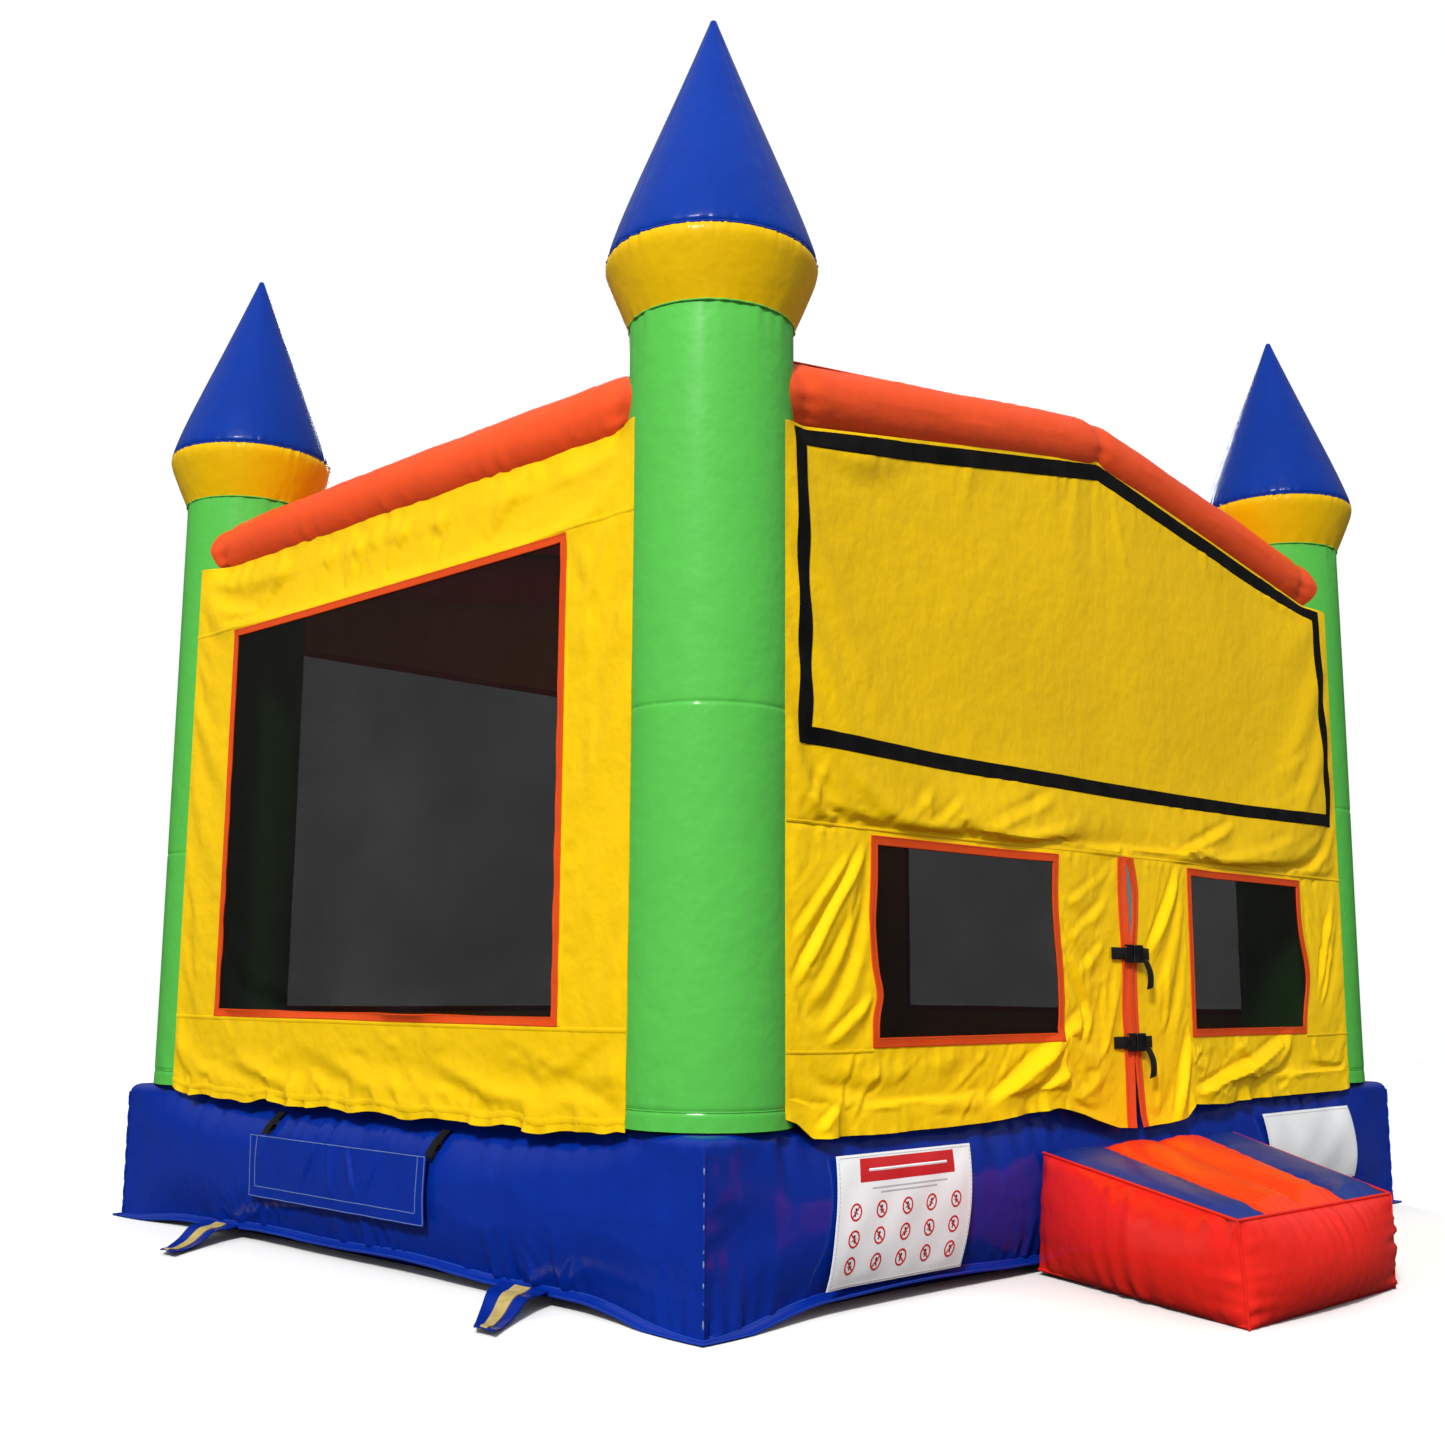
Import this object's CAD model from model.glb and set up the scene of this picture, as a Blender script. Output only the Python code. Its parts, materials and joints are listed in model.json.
"""Looks of the inflatable bounce house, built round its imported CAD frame.

Metres, +Z up, front at -Y. Every sheet is a grid of cloth: flat coordinates u (along) and v (up), an
outward displacement for its folds, then a short cloth simulation that lets it settle.
"""

import json
import math

import bmesh
import bpy
import numpy as np
from mathutils import Matrix, Vector

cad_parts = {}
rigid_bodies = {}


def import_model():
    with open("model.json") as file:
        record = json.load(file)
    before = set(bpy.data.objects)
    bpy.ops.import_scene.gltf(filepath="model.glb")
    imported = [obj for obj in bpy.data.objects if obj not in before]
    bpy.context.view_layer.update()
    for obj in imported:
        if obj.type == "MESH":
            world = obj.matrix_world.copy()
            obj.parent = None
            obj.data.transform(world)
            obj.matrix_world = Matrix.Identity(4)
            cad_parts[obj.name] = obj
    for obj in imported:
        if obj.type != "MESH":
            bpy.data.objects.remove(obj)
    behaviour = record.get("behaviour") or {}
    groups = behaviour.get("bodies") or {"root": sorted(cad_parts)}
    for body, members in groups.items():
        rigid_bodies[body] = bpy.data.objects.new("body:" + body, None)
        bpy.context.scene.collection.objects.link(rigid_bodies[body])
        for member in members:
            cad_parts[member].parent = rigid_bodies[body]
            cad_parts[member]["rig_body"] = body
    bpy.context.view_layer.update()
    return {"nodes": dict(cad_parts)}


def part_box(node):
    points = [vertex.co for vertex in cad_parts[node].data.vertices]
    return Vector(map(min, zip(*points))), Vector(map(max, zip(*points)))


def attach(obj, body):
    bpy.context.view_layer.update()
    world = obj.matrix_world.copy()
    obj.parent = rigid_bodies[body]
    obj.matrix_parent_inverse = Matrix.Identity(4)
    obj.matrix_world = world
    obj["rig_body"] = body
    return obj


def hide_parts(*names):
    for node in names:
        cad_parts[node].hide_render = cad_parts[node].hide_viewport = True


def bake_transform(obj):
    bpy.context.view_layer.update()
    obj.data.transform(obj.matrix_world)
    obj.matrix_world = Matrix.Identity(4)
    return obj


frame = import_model()
NODES = frame["nodes"]
CORNERS = ("front_left", "front_right", "back_left", "back_right")
TAU = math.tau


# ---------------------------------------------------------------- measures taken from the frame
def box(node):
    low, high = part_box(node)
    return np.array(low), np.array(high)


BASE_LOW, BASE_HIGH = box("base_shell")
HALF_W, HALF_D, BASE_H = BASE_HIGH[0], BASE_HIGH[1], BASE_HIGH[2]
CENTRES = {corner: sum(box("column_" + corner)) / 2 for corner in CORNERS}
COLUMN_X, COLUMN_Y = CENTRES["back_right"][:2]


def round_part(name):
    """Radius and top of an upright round node."""
    low, high = box(name)
    return (high[0] - low[0]) / 2, high[2]


COLUMN_R, COLUMN_TOP = round_part("column_front_left")
COLLAR_R, COLLAR_TOP = round_part("collar_front_left")
SPIRE_R, SPIRE_TOP = round_part("spire_front_left")
WALL_X = box("wall_right")[1][0]
WALL_Y = box("wall_back")[1][1]
WALL_TOP = box("wall_left")[1][2]
PEAK = box("wall_front_gable")[1][2]
SEAM = box("wall_front_left")[1][2]
GABLE_EAVE = 2.436  # height of the end walls at the columns
BEAM_R = 0.115
BEAM_INSET = 0.14  # the beams' middles from the base's outer faces
SIDE_END = COLUMN_Y - 0.073  # half the width of a side wall's cloth
FRONT_END = COLUMN_X - 0.073  # half the width of an end wall's cloth
WALL_FOOT = 0.470
TRIM = 0.022  # width of a window's bound edge
CLOTH = 0.003  # thickness of the vinyl cloth
BASE_ROUND = 0.034  # radius of the base's top edge
BASE_PULL = 0.045  # how far the base's seams are drawn in between its corners
BASE_SHOULDER = 0.035  # how much further the left and right faces lean in at the top
BASE_LIFT = 0.044  # how far the bottom seam rises between the corners
STITCH_DEPTH = 0.003


# ---------------------------------------------------------------- small numeric tools
def smooth(value):
    value = np.clip(value, 0.0, 1.0)
    return value * value * (3 - 2 * value)


def waves(x, y, length, seed, count=9, spread=(0.6, 1.7)):
    """A smooth seeded ripple in two directions, about 1 high."""
    rng = np.random.default_rng(seed)
    total = 0.0
    for _ in range(count):
        angle, phase = rng.uniform(0, TAU, 2)
        rate = TAU / (length * rng.uniform(*spread))
        total = total + np.sin(rate * (math.cos(angle) * x + math.sin(angle) * y) + phase)
    return total / math.sqrt(count)


def puckers(along, away, spacing, depth, reach, seed, loop=None):
    """Short creases that leave a seam at right angles and die out away from it."""
    rng = np.random.default_rng(seed)

    def fitted(size):
        return loop / max(1, round(loop / size)) if loop else size

    total = 0.0
    for _ in range(7):
        size = fitted(spacing * rng.uniform(0.55, 1.9))
        phase = rng.uniform(0, TAU)
        wave = np.sin(TAU * along / size + phase)
        fade = np.exp(-np.abs(away) / (reach * rng.uniform(0.45, 1.5)))
        total = total + np.sign(wave) * np.abs(wave) ** 1.6 * fade
    gate = 0.6 + 0.4 * np.sin(TAU * along / fitted(spacing * 8) + rng.uniform(0, TAU))
    return depth * gate * total / 2


def fold(u, v, start, end, width, height, bias=0.5):
    """One crease from start to end: a ridge that falls gently on its left and steeply on its right."""
    start, end = np.array(start), np.array(end)
    run = end - start
    length = math.hypot(*run)
    run = run / length
    du, dv = u - start[0], v - start[1]
    along = (du * run[0] + dv * run[1]) / length
    bow = 0.22 * math.sin(37 * start[0] + 23 * end[1]) * np.sin(math.pi * np.clip(along, 0, 1))
    across = (-du * run[1] + dv * run[0]) / width + bow
    taper = smooth((along + 0.15) / 0.45) * smooth((1.15 - along) / 0.45)
    ridge = np.exp(-np.abs(across / np.where(across < 0, 1 - 0.62 * bias, 1 + 0.5 * bias)) ** 1.45)
    trough = 0.45 * bias * np.exp(-(((across + 1.0) / 0.45) ** 2))
    return height * taper * (ridge - trough)


def crumple(u, v, seed, area, count, length, width, height, slant, spread=0.35):
    """Many small creases strewn over area (low u, high u, low v, high v), mostly along slant."""
    rng = np.random.default_rng(seed)
    total = 0.0 * u
    for _ in range(count):
        cu, cv = rng.uniform(area[0], area[1]), rng.uniform(area[2], area[3])
        angle = slant + rng.normal() * spread
        half = length * rng.uniform(0.5, 1.6) / 2
        reach = (math.cos(angle) * half, math.sin(angle) * half)
        size = rng.uniform(0.7, 1.5)
        rise = height * rng.uniform(0.4, 1.3) * (1 if rng.uniform() < 0.7 else -0.8)
        total += fold(u, v, (cu - reach[0], cv - reach[1]), (cu + reach[0], cv + reach[1]), width * size, rise, 0.7)
    return total


def folds(d, u, v, rows):
    """Adds a crease to d for each row: start u and v, end u and v, width, height and bias."""
    for row in rows:
        d = d + fold(u, v, row[:2], row[2:4], *row[4:])
    return d


def crumples(d, u, v, rows):
    for row in rows:
        d = d + crumple(u, v, *row)
    return d


def lines(breaks, step):
    """Coordinates that run through every break, with steps no longer than step."""
    out = [breaks[0]]
    for low, high in zip(breaks, breaks[1:]):
        count = max(1, math.ceil((high - low) / step - 1e-6))
        out += [low + (high - low) * index / count for index in range(1, count + 1)]
    return np.array(out)


def xyz(x, y, z):
    """Points from three coordinates, each an array or a number."""
    return np.stack(np.broadcast_arrays(x, y, z), -1)


def unit(vectors):
    return vectors / np.maximum(np.linalg.norm(vectors, axis=-1, keepdims=True), 1e-12)


# ---------------------------------------------------------------- meshes and pieces
MATERIALS = {}


def grid_faces(rows, cols, wrap=False):
    """Quads of a grid of rows by cols points, closed round its columns when wrap is true."""
    row = np.arange(rows - 1)[:, None]
    col = np.arange(cols if wrap else cols - 1)[None, :]
    after = (col + 1) % cols
    quads = [row * cols + col, row * cols + after, (row + 1) * cols + after, (row + 1) * cols + col]
    return np.stack(quads, -1).reshape(-1, 4)


def make_object(name, points, faces, smooth_angle=40.0):
    mesh = bpy.data.meshes.new(name)
    mesh.from_pydata(np.asarray(points, float).tolist(), [], [list(map(int, f)) for f in faces])
    builder = bmesh.new()
    builder.from_mesh(mesh)
    bmesh.ops.recalc_face_normals(builder, faces=builder.faces)
    builder.to_mesh(mesh)
    builder.free()
    mesh.shade_smooth()
    mesh.set_sharp_from_angle(angle=math.radians(smooth_angle))
    obj = bpy.data.objects.new(name, mesh)
    bpy.context.scene.collection.objects.link(obj)
    return obj


def piece(name, mesh, material, body="house", replaces=(), angle=40.0):
    """A visible piece from a (points, faces) pair or a list of such pairs, riding on a body."""
    obj = make_object(name, *(join_parts(mesh) if isinstance(mesh, list) else mesh), angle)
    obj.data.materials.append(MATERIALS[material])
    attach(obj, body)
    if replaces:
        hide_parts(*replaces)
    return obj


def join_parts(parts):
    """Several (points, faces) pairs as one."""
    points, faces, first = [], [], 0
    for part_points, part_faces in parts:
        points.append(np.asarray(part_points, float).reshape(-1, 3))
        faces += [[int(i) + first for i in face] for face in part_faces]
        first += len(points[-1])
    return np.concatenate(points), faces


def closed_tube(rings):
    """Rings of points, rings by sides by 3, skinned and capped at both ends."""
    rings = np.asarray(rings)
    rows, cols = rings.shape[:2]
    faces = [list(f) for f in grid_faces(rows, cols, wrap=True)]
    faces.append(list(range(cols)))
    faces.append([(rows - 1) * cols + index for index in range(cols)])
    return rings.reshape(-1, 3), faces


def loop_tube(rings):
    """Rings of points joined end to end into a closed loop."""
    rings = np.asarray(rings)
    rows, cols = rings.shape[:2]
    faces = grid_faces(rows + 1, cols, wrap=True) % (rows * cols)
    return rings.reshape(-1, 3), faces


def sweep(path, sides, radius, up=(0.0, 0.0, 1.0), closed=False):
    """Rings round a path, with their first point across and the second towards up."""
    path = np.asarray(path, float)
    if closed:
        run = unit(np.roll(path, -1, 0) - np.roll(path, 1, 0))
    else:
        run = unit(np.gradient(path, axis=0))
    across = unit(np.cross(run, np.asarray(up, float)))
    upward = np.cross(across, run)
    angle = np.arange(sides) / sides * TAU
    radius = np.broadcast_to(radius, (len(path),))[:, None, None]
    ring = np.cos(angle)[None, :, None] * across[:, None, :]
    ring = ring + np.sin(angle)[None, :, None] * upward[:, None, :]
    return path[:, None, :] + ring * radius


def whole(u, v):
    return np.full(u.shape, True)


class Sheet:
    """Cloth as a grid. points[row, column] is where (us[column], vs[row]) lies."""

    def __init__(self, us, vs, points, outward):
        self.us, self.vs, self.points = np.array(us), np.array(vs), np.array(points, float)
        self.outward = np.array(outward, float)

    def refine(self):
        for axis in (0, 1):
            p = np.moveaxis(self.points, axis, 0)
            padded = np.concatenate([2 * p[:1] - p[1:2], p, 2 * p[-1:] - p[-2:-1]])
            middle = (9 * (padded[1:-2] + padded[2:-1]) - padded[:-3] - padded[3:]) / 16
            out = np.empty((2 * len(p) - 1,) + p.shape[1:])
            out[0::2], out[1::2] = p, middle
            self.points = np.moveaxis(out, 0, axis)
        self.us = np.interp(np.arange(2 * len(self.us) - 1) / 2, np.arange(len(self.us)), self.us)
        self.vs = np.interp(np.arange(2 * len(self.vs) - 1) / 2, np.arange(len(self.vs)), self.vs)

    def normals(self):
        along, up = np.gradient(self.points, axis=1), np.gradient(self.points, axis=0)
        found = unit(np.cross(along, up))
        return found * np.sign((found @ self.outward).mean())

    def at(self, u, v, lift=0.0):
        """Points on the sheet at flat coordinates u and v, raised outwards by lift."""
        u, v = np.asarray(u, float), np.asarray(v, float)
        col = np.clip(np.interp(u, self.us, np.arange(len(self.us))), 0, len(self.us) - 1.001)
        row = np.clip(np.interp(v, self.vs, np.arange(len(self.vs))), 0, len(self.vs) - 1.001)
        c, r = col.astype(int), row.astype(int)
        fc, fr = (col - c)[..., None], (row - r)[..., None]

        def blend(grid):
            low = grid[r, c] * (1 - fc) + grid[r, c + 1] * fc
            high = grid[r + 1, c] * (1 - fc) + grid[r + 1, c + 1] * fc
            return low * (1 - fr) + high * fr

        lift = np.asarray(lift, float)
        return blend(self.points) + blend(self.normals()) * lift[..., None]

    def piece(self, name, inside, material, slot, thickness, lift=0.0, body="house", replaces=()):
        """The part of the sheet whose faces inside(u, v) takes, as a thin closed solid."""
        rows, cols = len(self.vs), len(self.us)
        uc = (self.us[1:] + self.us[:-1]) / 2
        vc = (self.vs[1:] + self.vs[:-1]) / 2
        mask = inside(*np.meshgrid(uc, vc)).reshape(-1)
        faces = grid_faces(rows, cols)[mask]
        used, index = np.unique(faces, return_inverse=True)
        faces = index.reshape(faces.shape)
        normal = self.normals().reshape(-1, 3)[used]
        front = self.points.reshape(-1, 3)[used] + normal * lift
        back = front - normal * thickness
        count = len(used)
        edges = np.concatenate([faces[:, [a, (a + 1) % 4]] for a in range(4)])
        key = np.sort(edges, axis=1)
        _, where, times = np.unique(key, axis=0, return_index=True, return_counts=True)
        rim = edges[where[times == 1]]
        sides = np.stack([rim[:, 1], rim[:, 0], rim[:, 0] + count, rim[:, 1] + count], -1)
        every = np.concatenate([faces, faces[:, ::-1] + count, sides])
        return piece(name, (np.concatenate([front, back]), every), material, body, replaces)


def ribbon(surface, path, width, lift, thickness=0.002, closed=False, sides=(-1, -0.6, 0, 0.6, 1)):
    """A flat strip that follows a path of flat coordinates on a sheet, rounded at its edges."""
    path = np.asarray(path, float)
    if closed:
        run = np.roll(path, -1, 0) - np.roll(path, 1, 0)
    else:
        run = np.gradient(path, axis=0)
    run = unit(run)
    across = np.stack([-run[:, 1], run[:, 0]], -1)
    rings = []
    for side in sides:
        rise = lift * (1 - 0.75 * abs(side) ** 4)
        at = path + across * side * width / 2
        rings.append(surface.at(at[:, 0], at[:, 1], np.full(len(at), rise)))
    for side in (1, -1):
        at = path + across * side * width / 2
        rings.append(surface.at(at[:, 0], at[:, 1], np.full(len(at), lift * 0.25 - thickness)))
    rings = np.stack(rings, 1)
    return loop_tube(rings) if closed else closed_tube(rings)


def stitches(surface, path, pitch=0.012, length=0.008, width=0.0016, lift=0.003):
    """Small raised dashes of thread along a path of flat coordinates on a sheet."""
    path = np.asarray(path, float)
    step = np.concatenate([[0], np.cumsum(np.linalg.norm(np.diff(path, axis=0), axis=1))])
    places = np.arange(pitch / 2, step[-1], pitch)
    ends = []
    for shift in (-length / 2, length / 2):
        s = np.clip(places + shift, 0, step[-1])
        ends.append(np.stack([np.interp(s, step, path[:, k]) for k in (0, 1)], -1))
    run = unit(ends[1] - ends[0])
    across = np.stack([-run[:, 1], run[:, 0]], -1) * width / 2
    corners = [ends[0] - across, ends[1] - across, ends[1] + across, ends[0] + across]
    top = [surface.at(c[:, 0], c[:, 1], np.full(len(c), lift)) for c in corners]
    base = [surface.at(c[:, 0], c[:, 1], np.full(len(c), lift - STITCH_DEPTH)) for c in corners]
    points = np.stack(base + top, 1)
    cube = np.array(
        [(0, 1, 2, 3), (4, 7, 6, 5), (0, 4, 5, 1), (1, 5, 6, 2), (2, 6, 7, 3), (3, 7, 4, 0)]
    )
    faces = (np.arange(len(places))[:, None, None] * 8 + cube[None]).reshape(-1, 4)
    return points.reshape(-1, 3), faces


def rectangle(low_u, high_u, low_v, high_v):
    return [(low_u, low_v), (high_u, low_v), (high_u, high_v), (low_u, high_v), (low_u, low_v)]


def polyline(points, step=0.02):
    """Points along straight runs between the given ones, about a step apart."""
    out = [points[0]]
    for a, b in zip(points, points[1:]):
        count = max(1, round(math.dist(a, b) / step))
        out += [tuple(np.array(a) + (np.array(b) - np.array(a)) * i / count) for i in range(1, count + 1)]
    return out


# ---------------------------------------------------------------- materials
def new_material(name):
    material = bpy.data.materials.new(name)
    material.use_nodes = True
    tree = material.node_tree
    shader = tree.nodes["Principled BSDF"]
    MATERIALS[name] = material
    return tree, shader, tree.nodes.new("ShaderNodeTexCoord").outputs["Object"]


def set_inputs(shader, **values):
    """Sets a shader's inputs by name, with underscores for spaces."""
    for name, value in values.items():
        shader.inputs[name.replace("_", " ")].default_value = value


def link(tree, source, target):
    tree.links.new(source, target)


def noise(tree, coords, scale, detail=3.0, rough=0.55):
    node = tree.nodes.new("ShaderNodeTexNoise")
    node.inputs["Scale"].default_value = scale
    node.inputs["Detail"].default_value = detail
    node.inputs["Roughness"].default_value = rough
    link(tree, coords, node.inputs["Vector"])
    return node.outputs["Fac"]


def remap(tree, value, low, high, to_low, to_high):
    node = tree.nodes.new("ShaderNodeMapRange")
    for socket, number in zip(("From Min", "From Max", "To Min", "To Max"), (low, high, to_low, to_high)):
        node.inputs[socket].default_value = number
    link(tree, value, node.inputs["Value"])
    return node.outputs["Result"]


def mix_colour(tree, factor, a, b):
    node = tree.nodes.new("ShaderNodeMix")
    node.data_type = "RGBA"
    link(tree, factor, node.inputs["Factor"])
    for socket, colour in ((node.inputs[6], a), (node.inputs[7], b)):
        if isinstance(colour, tuple):
            socket.default_value = (*colour, 1.0)
        else:
            link(tree, colour, socket)
    return node.outputs[2]


def paint(tree, shader, factor, a, b):
    link(tree, mix_colour(tree, factor, a, b), shader.inputs["Base Color"])


def feed(tree, node, sockets, values):
    """Gives sockets of a node a number each, or a link."""
    for socket, value in zip(sockets, values):
        if isinstance(value, (int, float)):
            node.inputs[socket].default_value = value
        else:
            link(tree, value, node.inputs[socket])
    return node.outputs[0]


def math_node(tree, operation, a, b):
    node = tree.nodes.new("ShaderNodeMath")
    node.operation = operation
    return feed(tree, node, (0, 1), (a, b))


def mix_value(tree, factor, a, b):
    node = tree.nodes.new("ShaderNodeMix")
    node.data_type = "FLOAT"
    return feed(tree, node, (0, 2, 3), (factor, a, b))


def shade(colour, factor, lift=0.0):
    return tuple(min(1.0, c * factor + lift) for c in colour)


def weave(tree, coords, pitch):
    """The raised threads of a weave, as a height of 0 to 1, on upright and level cloth alike."""
    split = tree.nodes.new("ShaderNodeSeparateXYZ")
    link(tree, coords, split.inputs["Vector"])
    x, y, z = split.outputs
    lay = tree.nodes.new("ShaderNodeCombineXYZ")
    link(tree, math_node(tree, "ADD", x, y), lay.inputs["X"])
    link(tree, math_node(tree, "ADD", math_node(tree, "SUBTRACT", x, y), z), lay.inputs["Y"])
    heights = []
    for direction in ("X", "Y"):
        wave = tree.nodes.new("ShaderNodeTexWave")
        wave.bands_direction = direction
        wave.inputs["Scale"].default_value = 0.314 / pitch
        wave.inputs["Distortion"].default_value = 0.0
        link(tree, lay.outputs["Vector"], wave.inputs["Vector"])
        heights.append(wave.outputs["Fac"])
    return math_node(tree, "MULTIPLY", math_node(tree, "ADD", *heights), 0.5)


def bump(tree, shader, heights):
    """Chains bump nodes from (height, distance, strength) rows."""
    normal = None
    for height, distance, strength in heights:
        node = tree.nodes.new("ShaderNodeBump")
        node.inputs["Distance"].default_value = distance
        node.inputs["Strength"].default_value = strength
        link(tree, height, node.inputs["Height"])
        if normal is not None:
            link(tree, normal, node.inputs["Normal"])
        normal = node.outputs["Normal"]
    link(tree, normal, shader.inputs["Normal"])


def vinyl(name, colour, roughness=0.38, coat=0.25, soil=0.0, spread=0.10, crinkle=0.35):
    """Coated vinyl cloth: scrim under the coating, faint crinkles, uneven tone and dust low down."""
    tree, shader, coords = new_material(name)
    cloud = noise(tree, coords, 1.7, 4.0)
    fine = noise(tree, coords, 38.0, 3.0)
    tone = math_node(tree, "ADD", math_node(tree, "MULTIPLY", cloud, 0.8), math_node(tree, "MULTIPLY", fine, 0.2))
    tone = remap(tree, tone, 0.35, 0.65, 0.0, 1.0)
    base = mix_colour(tree, tone, shade(colour, 1 - spread), shade(colour, 1 + spread * 0.6))
    if soil:
        split = tree.nodes.new("ShaderNodeSeparateXYZ")
        link(tree, coords, split.inputs["Vector"])
        low = remap(tree, split.outputs["Z"], 0.0, 0.16, soil, 0.0)
        spots = remap(tree, noise(tree, coords, 9.0, 5.0, 0.65), 0.4, 0.62, 0.0, 1.0)
        dirt = math_node(tree, "MULTIPLY", low, spots)
        base = mix_colour(tree, dirt, base, (0.16, 0.135, 0.10))
    link(tree, base, shader.inputs["Base Color"])
    patchy = noise(tree, coords, 6.0, 3.0)
    link(tree, remap(tree, patchy, 0.3, 0.7, roughness - 0.05, roughness + 0.08), shader.inputs["Roughness"])
    set_inputs(shader, Coat_Weight=coat, Coat_Roughness=0.16, Specular_IOR_Level=0.07)
    crease = noise(tree, coords, 14.0, 2.0, 0.5)
    ripple = noise(tree, coords, 55.0, 2.0, 0.5)
    scrim = weave(tree, coords, 0.0016)
    bump(tree, shader, [(crease, 0.012, crinkle), (ripple, 0.0016, crinkle), (scrim, 0.0001, 0.6)])
    return name


def netting(name):
    """Knitted black netting: threads with holes between them, finer than the view can show from afar."""
    tree, shader, coords = new_material(name)
    cells = weave(tree, coords, 0.0042)
    cloud = noise(tree, coords, 2.2, 3.0)
    ripple = noise(tree, coords, 16.0, 2.0)
    alpha = math_node(tree, "ADD", remap(tree, cells, 0.25, 0.75, NET_ALPHA - 0.16, NET_ALPHA + 0.16),
                      remap(tree, cloud, 0.3, 0.7, -0.03, 0.03))
    link(tree, alpha, shader.inputs["Alpha"])
    paint(tree, shader, remap(tree, ripple, 0.3, 0.7, 0.0, 1.0), (0.0022, 0.0022, 0.0022), (0.0045, 0.0045, 0.0048))
    set_inputs(shader, Roughness=0.55, Specular_IOR_Level=0.1)
    bump(tree, shader, [(ripple, 0.004, 0.4), (cells, 0.0006, 0.8)])


def webbing(name, colour, pitch=0.0022):
    """Woven strap: ribs along and across, fuzzy and matt."""
    tree, shader, coords = new_material(name)
    ribs = weave(tree, coords, pitch)
    cloud = noise(tree, coords, 24.0, 4.0)
    tone = math_node(tree, "MULTIPLY", ribs, cloud)
    tone = remap(tree, tone, 0.1, 0.45, 0.0, 1.0)
    paint(tree, shader, tone, shade(colour, 0.55), shade(colour, 1.35, 0.004))
    set_inputs(shader, Roughness=0.82, Sheen_Weight=0.02, Specular_IOR_Level=0.10)
    bump(tree, shader, [(cloud, 0.002, 0.3), (ribs, 0.0006, 0.8)])


def fuzzy_tape(name):
    """Loop side of a hook-and-loop tape: a dense matt pile."""
    tree, shader, coords = new_material(name)
    pile = noise(tree, coords, 420.0, 3.0, 0.7)
    cloud = noise(tree, coords, 11.0, 4.0)
    tone = math_node(tree, "MULTIPLY", pile, cloud)
    tone = remap(tree, tone, 0.12, 0.42, 0.0, 1.0)
    paint(tree, shader, tone, (0.0015, 0.0015, 0.0015), (0.0075, 0.0072, 0.0075))
    set_inputs(shader, Roughness=0.95, Sheen_Weight=0.01, Specular_IOR_Level=0.05)
    bump(tree, shader, [(cloud, 0.002, 0.4), (pile, 0.0012, 0.7)])


def moulded(name, colour, roughness):
    """Moulded plastic with a fine spark-eroded grain and worn spots."""
    tree, shader, coords = new_material(name)
    grain = noise(tree, coords, 900.0, 2.0)
    worn = noise(tree, coords, 60.0, 4.0)
    paint(tree, shader, remap(tree, worn, 0.45, 0.75, 0.0, 1.0), colour, shade(colour, 1.8, 0.002))
    link(tree, remap(tree, worn, 0.3, 0.7, roughness - 0.08, roughness + 0.1), shader.inputs["Roughness"])
    bump(tree, shader, [(grain, 0.0002, 0.5)])


def printed(name, colour, roughness=0.32):
    """A printed plastic sheet: almost flat colour with faint handling marks."""
    tree, shader, coords = new_material(name)
    cloud = noise(tree, coords, 5.0, 4.0)
    paint(tree, shader, remap(tree, cloud, 0.35, 0.7, 0.0, 1.0), colour, shade(colour, 0.90))
    link(tree, remap(tree, cloud, 0.3, 0.7, roughness - 0.06, roughness + 0.1), shader.inputs["Roughness"])
    bump(tree, shader, [(cloud, 0.004, 0.2)])


def thread(name, colour):
    tree, shader, coords = new_material(name)
    twist = noise(tree, coords, 700.0, 2.0)
    paint(tree, shader, twist, shade(colour, 0.75), colour)
    set_inputs(shader, Roughness=0.6)
    bump(tree, shader, [(twist, 0.0004, 0.6)])


NET_ALPHA = 0.59
vinyl("blue_cloth", (0.0010, 0.0200, 0.250), roughness=0.33, coat=0.55, soil=0.006)
vinyl("piping_cloth", (0.0045, 0.036, 0.32), roughness=0.30, coat=0.6)
vinyl("spire_cloth", (0.0012, 0.0250, 0.225), roughness=0.33, coat=0.09)
vinyl("green_cloth", (0.072, 0.39, 0.056), roughness=0.42, coat=0.20, spread=0.05)
vinyl("yellow_cloth", (0.71, 0.445, 0.0012), roughness=0.55, coat=0.03, spread=0.05, crinkle=0.5)
vinyl("front_cloth", (0.84, 0.535, 0.0018), roughness=0.55, coat=0.03, spread=0.06, crinkle=0.5)
vinyl("collar_cloth", (0.60, 0.362, 0.0006), roughness=0.45, coat=0.10, spread=0.05)
vinyl("orange_cloth", (0.70, 0.070, 0.014), roughness=0.48, coat=0.08, spread=0.06)
vinyl("roof_cloth", (0.78, 0.085, 0.018), roughness=0.75, coat=0.0, spread=0.08)
vinyl("trim_cloth", (0.60, 0.058, 0.006), roughness=0.55, coat=0.02, spread=0.12)
vinyl("red_cloth", (0.72, 0.017, 0.010), roughness=0.34, coat=0.35, soil=0.02)
vinyl("blue_wedge_cloth", (0.008, 0.028, 0.20), roughness=0.36, coat=0.10)
vinyl("step_middle_cloth", (0.80, 0.040, 0.008), roughness=0.36, coat=0.12)
netting("net")
webbing("black_strap", (0.006, 0.006, 0.0065))
webbing("tan_strap", (0.50, 0.38, 0.13), 0.003)
webbing("zip_tape", (0.016, 0.016, 0.022), 0.0012)
fuzzy_tape("loop_tape")
moulded("black_moulding", (0.004, 0.004, 0.0045), 0.38)
printed("white_print", (0.80, 0.82, 0.84))
printed("red_print", (0.55, 0.012, 0.016))
printed("dark_print", (0.03, 0.03, 0.035))
printed("grey_print", (0.45, 0.46, 0.47))
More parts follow.
